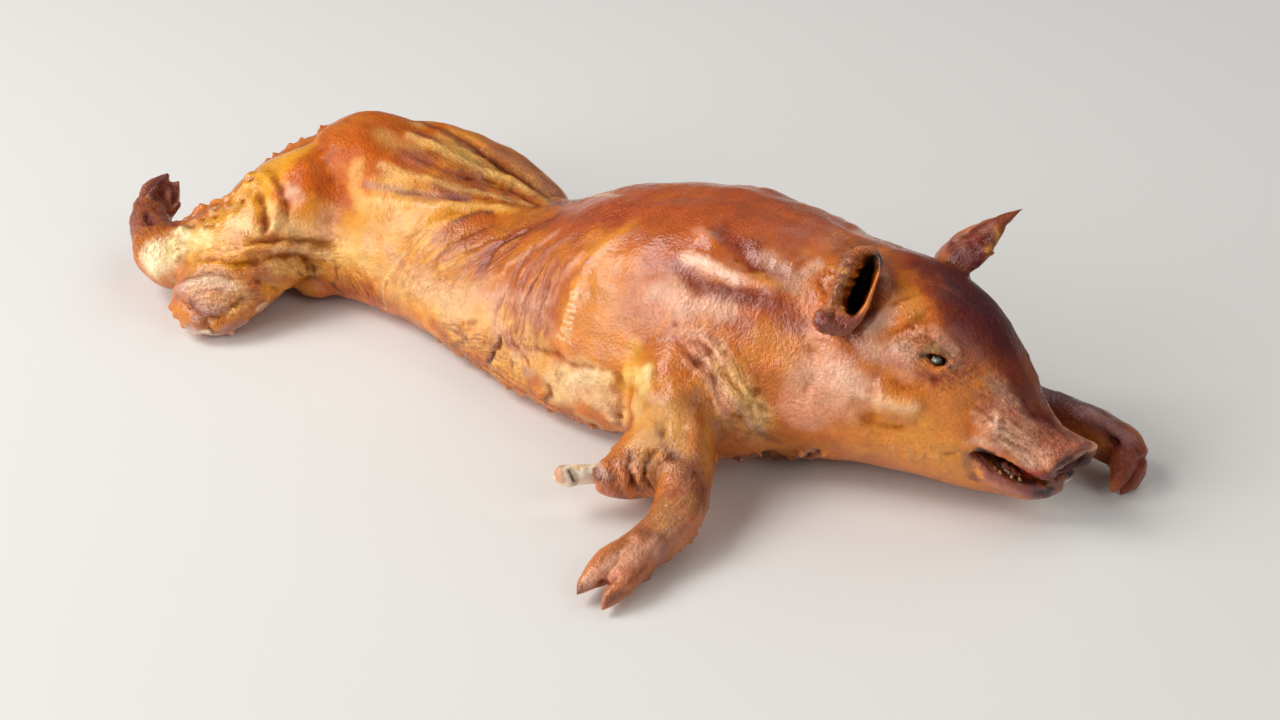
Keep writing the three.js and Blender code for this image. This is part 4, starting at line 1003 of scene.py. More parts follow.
    ("rosePale", 12, 0.35, [(478, 283), (514, 298), (542, 298)]),
    ("sheenPink", 18, 0.22, [(424, 287), (460, 308), (532, 312)]),
    ("rosePale", 12, 0.35, [(571, 384), (593, 391), (607, 405)], once),
    ("rosePale", 14, 0.3, [(409, 276), (460, 301)]),
    ("rust", 3, 0.7, [(539, 224), (492, 249), (478, 265)]),
    ("deepRust", 3, 0.6, [(496, 249), (478, 271)]),
    ("deepRust", 2.6, 0.5, [(560, 217), (542, 226), (524, 237)]),
    ("rust", 3, 0.6, [(533, 251), (519, 276), (514, 305), (513, 334)]),
    ("oxRose", 3, 0.6, [(558, 260), (546, 287), (540, 312), (539, 334)]),
    ("rust", 3, 0.6, [(582, 247), (564, 269), (553, 291)]),
    ("dustyRose", 4, 0.5, [(549, 251), (532, 280), (526, 308), (524, 334)]),
    ("rose", 4, 0.5, [(571, 237), (539, 258), (524, 280)]),
    ("rust", 2.6, 0.5, [(456, 247), (438, 264)]),
    ("oxRose", 3, 0.5, [(488, 233), (463, 247), (445, 262)]),
], "far foreleg, sheen and browning": [
    ("farRed", 10, 0.7, [(1130, 470), (1125, 450)], once),
    ("farRed", 9, 0.6, [(1121, 463), (1135, 471), (1142, 456)], once),
], "head, last touches": [
    ("rosePale", 14, 0.3, [(800, 395), (815, 420), (830, 375)]),
    ("rose", 7, 0.6, [(890, 355), (905, 365)]),
    ("rust", 10, 0.6, [(900, 250), (930, 245)]),
    ("maroon", 8, 0.5, [(975, 250), (990, 240)], once),
    ("umber", 3.5, 0.8, [(992, 235), (990, 250)], once),
    ("honey", 2.5, 0.6, [(998, 232), (996, 254)], once),
    ("plum", 9, 0.8, [(2, -12, 38), (3, 0, 46), (2, 12, 38)], once),
    ("honey", 12, 0.5, [(921, 429), (943, 448)]),
    ("goldSkin", 16, 0.5, [(844, 429), (910, 462)]),
    ("rust", 10, 0.4, [(939, 385), (961, 400), (968, 422)]),
    ("rosePale", 9, 0.7, [(1005, 405), (1025, 430)]),
    ("rose", 8, 0.6, [(890, 300), (882, 312)]),
    ("sheenPink", 10, 0.4, [(820, 380), (870, 385)]),
    ("maroonBrown", 9, 0.6, [(998, 356), (1016, 378), (1027, 400)]),
    ("eyeAsh", 6, 0.4, [(990, 378), (1009, 400)]),
    ("faceRust", 10, 0.6, [(905, 250), (930, 258)]),
    ("maroon", 15, 0.7, [(-80, -4, 125), (-60, -6, 108), (-40, -5, 88), (-20, -2, 70)], once),
    ("plum", 8, 0.5, [(-76, -2, 128), (-55, -4, 105), (-36, -4, 84)], once),
    ("nosePale", 3, 0.8, [(1054, 473), (1058, 467), (1069, 461), (1081, 452), (1094, 448)], once),
    ("maroon", 9, 0.85, [(-14, -15, 24), (-9, -6, 20), (-9, 4, 20), (-14, 12, 24)], once),
    ("fringe", 1.6, 0.7, [(1069, 488), (1076, 485)], once),
    ("fringe", 1.4, 0.6, [(1065, 482), (1066, 479)], [(1081, 456), (1083, 454)], once),
    ("noseDark", 9, 0.8, [(6, -10, 38), (7, 0, 36), (6, 10, 38)], once),
    ("honey", 16, 0.4, [(892, 433), (954, 473)]),
    ("sheenPink", 15, 0.3, [(807, 371), (855, 400)]),
    ("slateBrown", 8, 0.5, [(1039, 440), (1065, 449)]),
    ("snoutRed", 5, 0.6, [(1032, 472), (1044, 478), (1051, 475)]),
    ("rosePale", 4, 0.6, [(1044, 456), (1048, 464)]),
    ("sheenPink", 7, 0.45, [(870, 331), (888, 314)]),
    ("goldSkin", 8, 0.4, [(886, 305), (895, 296)]),
    ("oxRose", 9, 0.3, [(1009, 367), (1034, 411)]),
    ("rosePale", 12, 0.3, [(991, 428), (1028, 456)]),
    ("sheenPink", 5, 0.5, [(998, 433), (1032, 461)]),
    ("oxRose", 5, 0.5, [(970, 440), (963, 426)]),
    ("goldSkin", 10, 0.4, [(892, 473), (947, 488)]),
    ("rosePale", 5, 0.5, [(975, 415), (982, 426), (986, 438)]),
    ("dustyRose", 5, 0.5, [(986, 479), (1018, 495)]),
    ("char", 2.5, 0.7, [(1042, 493), (1051, 495)]),
    ("oxblood", 5, 0.85, [(1046, 478), (1054, 480), (1059, 484)], once),
    ("char", 3, 0.8, [(1036, 492), (1044, 492), (1052, 489)], [(1042, 479), (1047, 483)], once),
    ("muzzleTan", 8, 0.4, [(1042, 431), (1055, 442), (1069, 447)]),
    ("oxRose", 3, 0.6, [(1009, 410), (1018, 419)]),
    ("dustyRose", 5, 0.5, [(977, 394), (986, 408)]),
    ("goldSkin", 12, 0.35, [(952, 394), (954, 438)]),
    ("honey", 2.5, 0.5, [(986, 252), (990, 247)], once),
], "shoulder and foreleg, last touches": [
    ("rosePale", 5, 0.5, [(686, 335), (709, 361), (727, 387)], once),
    ("rust", 2.4, 0.6, [(675, 339), (690, 361), (709, 383)], [(698, 339), (720, 361), (735, 383)], once),
    ("paleHoney", 8, 0.4, [(720, 368), (753, 413)], once),
    ("faceRust", 9, 0.4, [(768, 298), (798, 327)]),
    ("faceRust", 5, 0.45, [(688, 277), (716, 289), (768, 304)]),
    ("faceRust", 5, 0.4, [(720, 234), (761, 264), (783, 275)]),
]}


def parted(stroke):
    # a stroke's values, and its lines
    lines = [part for part in stroke if isinstance(part, list)]
    return stroke[:stroke.index(lines[0])], lines


def hasTwin(stroke, numbers, shape):
    # only what lies wholly on the right side is repeated on the left
    return stroke[-1] != once and shape["points"][numbers, 1].max() < skinForm["twinBelow"]


def laidOut(groups, shape):
    # every stroke as its values, the points under its line, and how strongly it is worked: a twin
    # on the other side is fainter and a little shifted, so the two sides aren't mirror images
    laid = []
    for strokes in groups.values():
        for stroke in strokes:
            values, lines = parted(stroke)
            for line in lines:
                numbers = layOn(line, shape)
                laid.append((values, numbers, 1))
                if hasTwin(stroke, numbers, shape):
                    laid.append((values, otherSide(numbers, shape), skinForm["twinShare"]))
    return laid


def raggedKnobs(shape):
    # knobs and pits by turns along each ragged edge, no two alike
    chance = np.random.default_rng(5)
    knobs = []
    for strokes in raggedEdges.values():
        for stroke in strokes:
            (gap, radius, height, spread), (line,) = parted(stroke)
            numbers = layOn(line, shape)
            sides = [numbers] if stroke[-1] == once else [numbers, otherSide(numbers, shape)]
            for side in sides:
                for k, place in enumerate(drawn(shape["points"][side], gap)):
                    place = place + chance.normal(size=3) * spread
                    size = radius * chance.uniform(0.7, 1.3)
                    tall = height * chance.uniform(0.5, 1.2) * (1 if k % 3 < 2 else -0.8)
                    number = shape["tree"].find(Vector(place))[1]
                    knobs.append(((size, tall), np.array([number]), 1))
    return knobs


def squeezed(points, run, spacing, seed):
    # the points pushed together along the run: noise read there comes out as long wrinkles
    length = points @ run
    strayed = np.stack([noise(points, spacing * 7, seed + k) for k in (3, 4, 5)], 1)
    return points - np.outer(length, run) * skinForm["wrinkleSqueeze"] + 0.9 * spacing * strayed


def wrinkles(places, spacing, seed):
    # ridged noise that reads as folded skin, from -1 to 1
    sharp = 1 - 2 * np.abs(noise(places, spacing * 1.6, seed))
    return 0.6 * sharp + 0.5 * noise(places, spacing, seed + 1)


def fieldWaves(points, fields):
    # for each wrinkle field, the points it covers, the places its pattern is read from and the
    # height of its waves there
    for k, (values, numbers, share) in enumerate(fields):
        ends, reach, spacing, height, tone, strength = values
        run = points[ends[1]] - points[ends[0]]
        near, off, along = nearLine(points, points[numbers], reach)
        places = squeezed(points[near], run / np.linalg.norm(run), spacing, 7 * k)
        wave = wrinkles(places, spacing, 7 * k)
        cover = (1 - smoothStep(0.35, 1, off / reach)) * share
        yield near, cover, places, wave, height, tone, strength


def storeStreaks(mesh, points, fields):
    # what the material needs for wrinkles finer than the mesh: the squeezed places of the field
    # that is strongest at each point, and by how much it leads, so no seam shows between fields
    places, lead, second = points.copy(), np.zeros(len(points)), np.zeros(len(points))
    for near, cover, squeezedTo, wave, height, tone, strength in fieldWaves(points, fields):
        much = 2 * cover * strength
        wins = much > lead[near]
        second[near] = np.where(wins, lead[near], np.maximum(second[near], much))
        lead[near[wins]] = much[wins]
        places[near[wins]] = squeezedTo[wins]
    writeNumbers(mesh, "streakAt", "FLOAT_VECTOR", places)
    writeNumbers(mesh, "streak", "FLOAT", np.clip(lead - second, 0, 1))


def laidFields(shape):
    laid = []
    for stroke in wrinkleFields:
        form, (line, run) = parted(stroke)
        numbers, ends = layOn(line, shape), layOn(run, shape)[[0, -1]]
        laid.append(((ends, *form), numbers, 1))
        if hasTwin(stroke, numbers, shape):
            twin = (otherSide(ends, shape), *form)
            laid.append((twin, otherSide(numbers, shape), skinForm["fieldTwinShare"]))
    return laid


def foldLift(points, strokes, strayed):
    lift = np.zeros(len(points))
    taper = skinForm["lineTaper"]
    for k, ((width, height), numbers, share) in enumerate(strokes):
        near, off, along = nearLine(strayed, points[numbers], 2.6 * width)
        spots = points[near]
        uneven = 1 + skinForm["unevenWidth"] * noise(spots, 3 * width + 6, k)
        profile = np.exp(-1.5 * (off / (width * uneven)) ** 2)
        profile *= 1 + skinForm["unevenHeight"] * noise(spots, 3 * width + 4, k + 50)
        if len(numbers) > 1:
            profile *= smoothStep(-0.4 * taper, taper, along)
            profile *= smoothStep(-0.4 * taper, taper, 1 - along)
        lift[near] += height * share * profile
    return lift


def remade(name, node, grain, passes, roundedShare=None):
    # a fresh, evenly grained mesh over a CAD node, with its flat facets smoothed off
    piece = addObject(name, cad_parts[node].data.copy())
    piece.data.materials.clear()
    remesh = piece.modifiers.new("evenGrain", "REMESH")
    remesh.mode = "VOXEL"
    remesh.voxel_size = grain / 1000
    mesh = settle(piece)
    smooth = piece.modifiers.new("facetsRounded", "SMOOTH")
    smooth.iterations = passes
    smooth.factor = 0.5
    if roundedShare:
        smooth.vertex_group = addWeights(piece, "rounded", roundedShare(readPoints(mesh)))
    mesh = settle(piece)
    piece.vertex_groups.clear()
    dropCrumbs(mesh)
    return piece


def dropCrumbs(mesh):
    # the remesh can leave a crumb beside a thin tip: only the largest shell is kept
    shells = bmesh.new()
    shells.from_mesh(mesh)
    left, largest = set(shells.verts), set()
    while len(left) > len(largest):
        shell, edge = set(), [left.pop()]
        while edge:
            point = edge.pop()
            shell.add(point)
            beside = {join.other_vert(point) for join in point.link_edges} & left
            left -= beside
            edge += beside
        largest = max(largest, shell, key=len)
    crumbs = [point for point in shells.verts if point not in largest]
    if crumbs:
        bmesh.ops.delete(shells, geom=crumbs, context="VERTS")
        shells.to_mesh(mesh)
    shells.free()


def roundedSkin(points):
    much = np.ones(len(points))
    for place, radius, crisp in crispPlaces:
        off = np.linalg.norm(points - place, axis=1)
        much = np.minimum(much, 1 - crisp * (1 - smoothStep(0.6, 1.25, off / radius)))
    return much ** 2


def makeSkin():
    grain = skinForm["grain"]
    skin = remade("roast_skin", "carcass", grain, skinForm["facetPasses"], roundedSkin)
    mesh = skin.data
    shape = readShape(mesh)
    points = shape["points"]
    strokes, fields = laidOut(folds, shape) + raggedKnobs(shape), laidFields(shape)
    patches = laidOut(tones, shape)
    print("skin remade:", len(points), "points,", len(strokes), "folds and knobs,",
          len(patches), "patches laid on it")

    # broad unevenness of roast meat, then folds and knobs, then fine wrinkles
    flat = smoothStep(0.5, 6, points[:, 2])            # the side on the table stays flat
    strayed = wander(points, 16, skinForm["wander"]) - points
    strayed += wander(points, 5, skinForm["wander"] / 3, 3) - points
    swells = sum(high * noise(points, wide, seed) for high, wide, seed in skinForm["swells"])
    points = raised(mesh, points, swells * flat)
    lift = np.clip(foldLift(points, strokes, points + strayed), *skinForm["foldLimits"])
    points = raised(mesh, points, lift * flat)

    lift = sum(high * noise(points, wide, seed) for high, wide, seed in skinForm["ripples"])
    crust = np.zeros(len(points))
    for near, cover, places, wave, height, tone, strength in fieldWaves(points, fields):
        lift[near] += height * cover * wave
        crust[near] = np.maximum(crust[near], cover * height * skinForm["crustShare"])
    rough, *knobbly = skinForm["crustGrain"]
    lift += rough * crust * noise(points, *knobbly)
    under = skinForm["underShare"]
    points = raised(mesh, points, lift * (under + (1 - under) * flat))
    points[:, 2] = np.maximum(points[:, 2], 0)
    writePoints(mesh, points)
    writeNumbers(mesh, "crust", "FLOAT", crust)
    storeStreaks(mesh, points, fields)
    paintSkin(mesh, points, patches, fields, laidOut(dullPlaces, shape))

    triangles = sum(len(face.vertices) - 2 for face in mesh.polygons)
    if triangles > skinForm["triangles"]:
        hidden = smoothStep(4, 0, points[:, 2]) + 0.25 * (points[:, 1] > skinForm["farSide"])
        thinned = skin.modifiers.new("thinned", "DECIMATE")
        thinned.ratio = skinForm["triangles"] / triangles
        thinned.vertex_group = addWeights(skin, "plain", np.clip(0.4 + hidden, 0, 1))
        mesh = settle(skin)
        skin.vertex_groups.clear()
        writePoints(mesh, np.maximum(readPoints(mesh), (-np.inf, -np.inf, 0)))
    mesh.shade_smooth()
    print("skin finished:", len(mesh.vertices), "points,", len(mesh.polygons), "faces")
    return skin


# the painted colours of the roast
roastColours = {
    "goldenSkin": "#BA6A34", "goldSkin": "#CC8243", "honey": "#D9964C", "paleHoney": "#E4AF70",
    "honeyLight": "#E9BC7C", "cream": "#EFD9AE", "butterCream": "#E8C888", "butter": "#E6B056",
    "rindGold": "#D9984A", "tan": "#BE8A55", "beige": "#DFB682", "olive": "#B89454",
    "domeOrange": "#BC5A2A", "backOrange": "#AC5026", "neckOrange": "#BE6A36",
    "kneeOrange": "#B06628", "umberOrange": "#A05A28", "rust": "#A04A28", "deepRust": "#7A2E1C",
    "umber": "#5E301C", "oxblood": "#5A1F1A", "maroon": "#561A1A", "maroonBrown": "#6E3626",
    # the near-black of char serves charred bits and painted shade in the ear, mouth and eye openings
    "plum": "#44161A", "plumDark": "#200B10", "char": "#120907", "slate": "#67605F",
    "slateBrown": "#7A4C40", "slateRose": "#A47C78", "rose": "#C4806A", "rosePale": "#D9A083",
    "sheenPink": "#E8BDA2", "fringe": "#DCC6BA", "dustyRose": "#B4735C", "oxRose": "#94452F",
    # the pale back stripe colour is for a painted highlight
    "fatStreak": "#E6CFA8", "flapBrown": "#96522E",
    "hoofBrown": "#8A4A34", "hoofOrange": "#B4682F", "armTan": "#BC8650", "armBrown": "#A06238",
    "armOrange": "#B8672F", "legBrown": "#A66540", "farBrown": "#6A2C18", "farRed": "#722C14",
    "cheekGold": "#C8763A", "browGold": "#C68244", "faceRust": "#86381F",
    "muzzleTan": "#B8725A", "eyeAsh": "#94705A", "snoutRed": "#8E2E22", "lipPurple": "#8A4A44",
    "noseDark": "#421618", "nosePale": "#B88C80", "earTan": "#8A4C2A", "earRed": "#6E281E",
    "earTip": "#8A4428",
    "bone": "#F2E4CC", "boneTip": "#CF8F62", "boneScorch": "#A8693E", "boneFat": "#E5BE7C",
    # the bone's grey is painted shade along its upper side
    "boneGrey": "#A5907F", "boneStain": "#9C6C3E",
    "eyeSocket": "#17110D", "eyeDark": "#0B0908", "eyeCloud": "#7D8170", "eyeMilk": "#B9BBA8",
    "eyeStrand": "#CDB7A2", "tooth": "#B98A62", "tongue": "#96523F",
}


def allOver(tone, points):
    # one plain colour to start painting from
    return np.tile(toLinear(roastColours[tone]), (len(points), 1))


def neighbourAverage(mesh, values, turns):
    edges = np.empty(len(mesh.edges) * 2, int)
    mesh.edges.foreach_get("vertices", edges)
    a, b = edges.reshape(-1, 2).T
    count = np.bincount(np.r_[a, b], minlength=len(values))
    for turn in range(turns):
        values = np.stack([np.bincount(np.r_[a, b], np.r_[column[b], column[a]],
                                       minlength=len(values)) / count for column in values.T], 1)
    return values


def mixIn(colour, near, tone, share):
    aim = toLinear(roastColours[tone]) if isinstance(tone, str) else tone
    colour[near] += (aim - colour[near]) * np.clip(share, 0, 1)[:, None]


def paintPatches(colour, points, patches):
    # patches with ragged edges, as glaze and scorching leave them
    wide = wander(points, *skinForm["wideEdge"])
    narrow = wander(points, *skinForm["narrowEdge"])
    raggedness, *patch = skinForm["raggedness"]
    ragged = raggedness * layeredNoise(points, *patch)
    for (tone, radius, strength), numbers, share in patches:
        spots = narrow if radius > skinForm["plainBelow"] else points
        if radius > skinForm["wideFrom"]:
            spots = wide
        near, off, along = nearLine(spots, points[numbers], radius * 1.6)
        bell = np.exp(-1.1 * (off / radius) ** 2) + ragged[near] * min(1, radius / 8)
        mixIn(colour, near, tone, strength * (0.5 + 0.5 * share) * smoothStep(0.12, 0.95, bell))


def storeColour(mesh, colour):
    # the painted tone of each point, as linear colour
    opaque = np.c_[np.clip(colour, 0, 1), np.ones(len(colour))]
    writeNumbers(mesh, "roastTone", "FLOAT_COLOR", opaque)


def paintSkin(mesh, points, patches, fields, dull):
    colour = allOver("goldenSkin", points)
    everywhere = np.arange(len(points))
    for tone, start, *grain in skinForm["blotches"]:
        mixIn(colour, everywhere, tone, 0.5 * smoothStep(start, 0.7, layeredNoise(points, *grain)))
    paintPatches(colour, points, patches)
    for factors, start, *grain in skinForm["mottle"]:
        shown = smoothStep(start, 0.7, layeredNoise(points, *grain))
        mixIn(colour, everywhere, colour * factors, 0.7 * shown)
    for near, cover, places, wave, height, tone, strength in fieldWaves(points, fields):
        mixIn(colour, near, tone, cover * strength * smoothStep(0.1, 0.75, -wave))

    # painted shade darkens fine creases and broad valleys and a painted highlight pales the tops; the glaze
    # is thinner in the dull places and in the hollows
    normals = readNormals(mesh)
    glaze = np.ones(len(points))
    for (radius, much), numbers, share in dull:
        near, off, along = nearLine(points, points[numbers], radius)
        glaze[near] *= 1 - much * (1 - smoothStep(0.4, 1, off / radius))
    for turns, deep, much in skinForm["hollows"]:
        depth = ((neighbourAverage(mesh, points, turns) - points) * normals).sum(1)
        hollow, ridge = (smoothStep(0.05 * deep, deep, way * depth) for way in (1, -1))
        glaze *= 1 - 0.8 * hollow
        mixIn(colour, everywhere, colour * skinForm["hollowShade"], much * hollow)
        mixIn(colour, everywhere, colour * skinForm["ridgeHighlight"] + 0.015, 0.6 * much * ridge)
    grey = colour.mean(1, keepdims=True)
    storeColour(mesh, grey + skinForm["richness"] * (colour - grey))
    writeNumbers(mesh, "glaze", "FLOAT", glaze)
    print("skin painted")


skinFinish = {
    # mm from one mark to the next in each pattern
    "blotch": 14, "fleck": 3.0, "pit": 7, "pebble": 2.0, "grain": 1.1, "streak": 2.0,
    "relief": 0.85, "crustRelief": 1.7,     # mm of bump on smooth skin and on crust
    "glazeShare": 0.4,                      # how much of that relief the glaze follows
}


def roastSkinMaterial():
    # Pork skin roasted under its own fat: a thin hard glaze, mottled from honey to rust, over
    # pores and fine pebbled grain, so lights spread in a broad, slightly broken shine. Where it
    # has wrinkled and crusted the grain is coarser, speckled and duller.
    material, tree, at, tone = newMaterial("roastPorkSkin")
    crust = addNode(tree, "Attribute", attribute_name="crust").outputs["Fac"]
    glazed = addNode(tree, "Attribute", attribute_name="glaze").outputs["Fac"]
    streak = addNode(tree, "Attribute", attribute_name="streak").outputs["Fac"]
    streakAt = addNode(tree, "Attribute", attribute_name="streakAt").outputs["Vector"]

    # fine wrinkles, from 0 on their tops to 1 in their valleys
    lines = addNode(tree, "TexNoise", {"Vector": streakAt, "Scale": 1 / skinFinish["streak"],
                                       "Detail": 3})
    valley = addNode(tree, "MapRange", {"Value": lines, "From Min": 0.44, "From Max": 0.64,
                                        "To Min": 0, "To Max": 1})
    valleys = addNode(tree, "Math", {0: valley, 1: streak}, operation="MULTIPLY")

    # colour: broad blotches, and flecks that are faint on smooth skin and strong on crust
    blotch = addNode(tree, "TexNoise", {"Vector": at, "Scale": 1000 / skinFinish["blotch"], "Detail": 4})
    fleck = addNode(tree, "TexNoise", {"Vector": at, "Scale": 1000 / skinFinish["fleck"], "Detail": 4})
    fleckSwing = addNode(tree, "MapRange", {"Value": fleck, "From Min": 0.3, "From Max": 0.7,
                                            "To Min": -1, "To Max": 1})
    fleckShare = addNode(tree, "MapRange", {"Value": crust, "To Min": 0.07, "To Max": 0.4})
    fleckShade = addNode(tree, "Math", {0: fleckSwing, 1: fleckShare, 2: 1}, operation="MULTIPLY_ADD")
    blotchShade = addNode(tree, "MapRange", {"Value": blotch, "From Min": 0.35, "From Max": 0.65,
                                             "To Min": 0.88, "To Max": 1.1})
    pits = addNode(tree, "TexVoronoi", {"Vector": at, "Scale": 1000 / skinFinish["pit"]})
    pitShade = addNode(tree, "MapRange", {"Value": pits, "From Min": 0.05, "From Max": 0.12,
                                          "To Min": 0.6, "To Max": 1})
    shade = addNode(tree, "Math", {0: fleckShade, 1: blotchShade}, operation="MULTIPLY")
    pitted = addNode(tree, "Math", {0: shade, 1: pitShade}, operation="MULTIPLY")
    mottled = addNode(tree, "VectorMath", {0: tone, "Scale": pitted}, operation="SCALE")
    valleyTint = addNode(tree, "VectorMath", {0: valleys, 1: (-0.3, -0.48, -0.54),
                                              2: (1.05, 1.08, 1.1)}, operation="MULTIPLY_ADD")
    streaked = addNode(tree, "VectorMath", {0: mottled, 1: valleyTint}, operation="MULTIPLY")

    # relief: pebbles with grain between them, deeper on crust, and the fine wrinkles
    pebbles = addNode(tree, "TexVoronoi", {"Vector": at, "Scale": 1000 / skinFinish["pebble"]},
                      feature="SMOOTH_F1")
    grain = addNode(tree, "TexNoise", {"Vector": at, "Scale": 1000 / skinFinish["grain"], "Detail": 3})
    pebbled = addNode(tree, "Math", {0: pebbles, 1: grain})
    height = addNode(tree, "Math", {0: valleys, 1: -0.9, 2: pebbled}, operation="MULTIPLY_ADD")
    relief = addNode(tree, "MapRange", {"Value": crust, "To Min": skinFinish["relief"] / 1000,
                                        "To Max": skinFinish["crustRelief"] / 1000})
    bump = addNode(tree, "Bump", {"Height": height, "Strength": 0.8, "Distance": relief})
    glazeRelief = addNode(tree, "Math", {0: relief, 1: skinFinish["glazeShare"]}, operation="MULTIPLY")
    glazeBump = addNode(tree, "Bump", {"Height": height, "Strength": 0.6, "Distance": glazeRelief})

    # shine: satin skin under a thin clear glaze, which fills part of the relief
    satin = addNode(tree, "MapRange", {"Value": blotch, "From Min": 0.3, "From Max": 0.7,
                                       "To Min": 0.45, "To Max": 0.6})
    dullness = addNode(tree, "Math", {0: glazed, 1: -0.12, 2: satin}, operation="MULTIPLY_ADD")
    coat = addNode(tree, "Math", {0: glazed, 1: 0.7}, operation="MULTIPLY")
    specular = addNode(tree, "MapRange", {"Value": glazed, "To Min": 0.15, "To Max": 0.5})
    glaze = addNode(tree, "BsdfPrincipled", {
        "Base Color": streaked, "Roughness": dullness, "IOR": 1.42, "Specular IOR Level": specular,
        "Normal": bump, "Coat Normal": glazeBump, "Coat Weight": coat, "Coat Roughness": 0.1,
        "Subsurface Weight": 0.06, "Subsurface Radius": (1.0, 0.4, 0.2), "Subsurface Scale": 0.004})
    addNode(tree, "OutputMaterial", {"Surface": glaze})
    return material


skin = makeSkin()
skin.data.materials.append(roastSkinMaterial())
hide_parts("carcass")
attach(skin, "root")

# the bare elbow bone, with its folds and tones given as the skin's are
boneForm = {
    "grain": 0.8, "facetPasses": 5,
    "cloud": 2.5, "pit": 0.9,       # mm between clouds and between pits
    "folds": {
        "groove": [(1.3, -1.3, [(569, 469), (572, 477), (574, 483)], once)],
        "knuckle": [(4, 1.0, [(560, 470)], once),
                    (3.5, 0.9, [(573, 486), (566, 482)], once),
                    (4, 0.8, [(581, 468), (584, 478)], once)],
        "dents": [(1.2, -0.8, [(580, 470)], once), (1.0, -0.6, [(587, 465)], once)],
    },
    "tones": {
        "scorchedTip": [("boneTip", 5.5, 0.9, [(557, 470), (559, 478)], once),
                        ("boneScorch", 2.6, 0.6, [(556, 467), (561, 466)], once)],
        # fat and stains, and grey painted shade along the bone's upper side
        "fatStainsAndShade": [("boneFat", 3.2, 0.7, [(576, 468), (586, 466)], once),
                        ("boneGrey", 2.2, 0.6, [(579, 462), (590, 461)], once),
                        ("boneStain", 3.0, 0.7, [(570, 470), (575, 482)], once),
                        ("boneStain", 1.6, 0.8, [(573, 487), (584, 485)], once)],
        "groove": [("char", 1.0, 0.85, [(570, 471), (572, 477), (574, 481)], once)],
    },
}


def makeBone():
    bone = remade("bare_bone", "elbow_bone", boneForm["grain"], boneForm["facetPasses"])
    shape = readShape(bone.data)
    points = shape["points"]
    lift = foldLift(points, laidOut(boneForm["folds"], shape), points)
    raised(bone.data, points, lift + 0.1 * noise(points, 3, 6))
    colour = allOver("bone", points)
    paintPatches(colour, points, laidOut(boneForm["tones"], shape))
    storeColour(bone.data, colour)
    bone.data.shade_smooth()
    return bone


def boneMaterial():
    # Cooked limb bone wiped clean of meat: dense, ivory, faintly greasy, with fine pits.
    material, tree, at, tone = newMaterial("cookedBone")
    cloud = addNode(tree, "TexNoise", {"Vector": at, "Scale": 1000 / boneForm["cloud"], "Detail": 4})
    shade = addNode(tree, "MapRange", {"Value": cloud, "From Min": 0.3, "From Max": 0.7,
                                       "To Min": 0.82, "To Max": 1.1})
    mottled = addNode(tree, "VectorMath", {0: tone, "Scale": shade}, operation="SCALE")
    pits = addNode(tree, "TexNoise", {"Vector": at, "Scale": 1000 / boneForm["pit"], "Detail": 3})
    bump = addNode(tree, "Bump", {"Height": pits, "Strength": 0.5, "Distance": 0.0004})
    dullness = addNode(tree, "MapRange", {"Value": cloud, "From Min": 0.3, "From Max": 0.7,
                                          "To Min": 0.38, "To Max": 0.55})
    surface = addNode(tree, "BsdfPrincipled", {
        "Base Color": mottled, "Roughness": dullness, "IOR": 1.55, "Normal": bump,
        "Subsurface Weight": 0.15, "Subsurface Radius": (1.0, 0.8, 0.6), "Subsurface Scale": 0.003})
    addNode(tree, "OutputMaterial", {"Surface": surface})
    return material


bone = makeBone()
bone.data.materials.append(boneMaterial())
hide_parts("elbow_bone")
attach(bone, "root")
print("bone made")

# eyes, cooked cloudy behind half-open lids
eyeForm = {
    "grain": 0.45, "facetPasses": 12,
    "cloud": 1.4,           # mm between clouds
    "tones": {
        "rings": [("eyeDark", 3.6, 0.7, [(936, 361)], once),
                  ("eyeCloud", 2.8, 0.95, [(936, 361)], once),
                  ("eyeMilk", 1.2, 0.8, [(935, 360)], once)],
        "strands": [("eyeStrand", 0.45, 0.9, [(931, 365), (932, 360), (934, 357)], once),
                    ("eyeStrand", 0.9, 0.6, [(925, 358), (927, 361)], once)],
    },
}


def makeEye(side, laid):
    # the strokes are laid on the right eye, and the left one gets the same ones mirrored
    eye = remade(f"cooked_eye_{side}", f"eye_{side}", eyeForm["grain"], eyeForm["facetPasses"])
    shape = readShape(eye.data)
    points = shape["points"]
    if side == "right":
        laid = [(values, points[numbers], share) for values, numbers, share
                in laidOut(eyeForm["tones"], shape)]
    mirror = (1, 1 if side == "right" else -1, 1)
    patches = []
    for values, places, share in laid:
        numbers = [shape["tree"].find(Vector(place * mirror))[1] for place in places]
        patches.append((values, np.array(numbers), share))
    colour = allOver("eyeSocket", points)
    paintPatches(colour, points, patches)
    storeColour(eye.data, colour)
    raised(eye.data, points, 0.35 * noise(points, 3.5, 8) + 0.12 * noise(points, 1.6, 9))
    eye.data.shade_smooth()
    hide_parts(f"eye_{side}")
    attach(eye, "root")
    return eye, laid


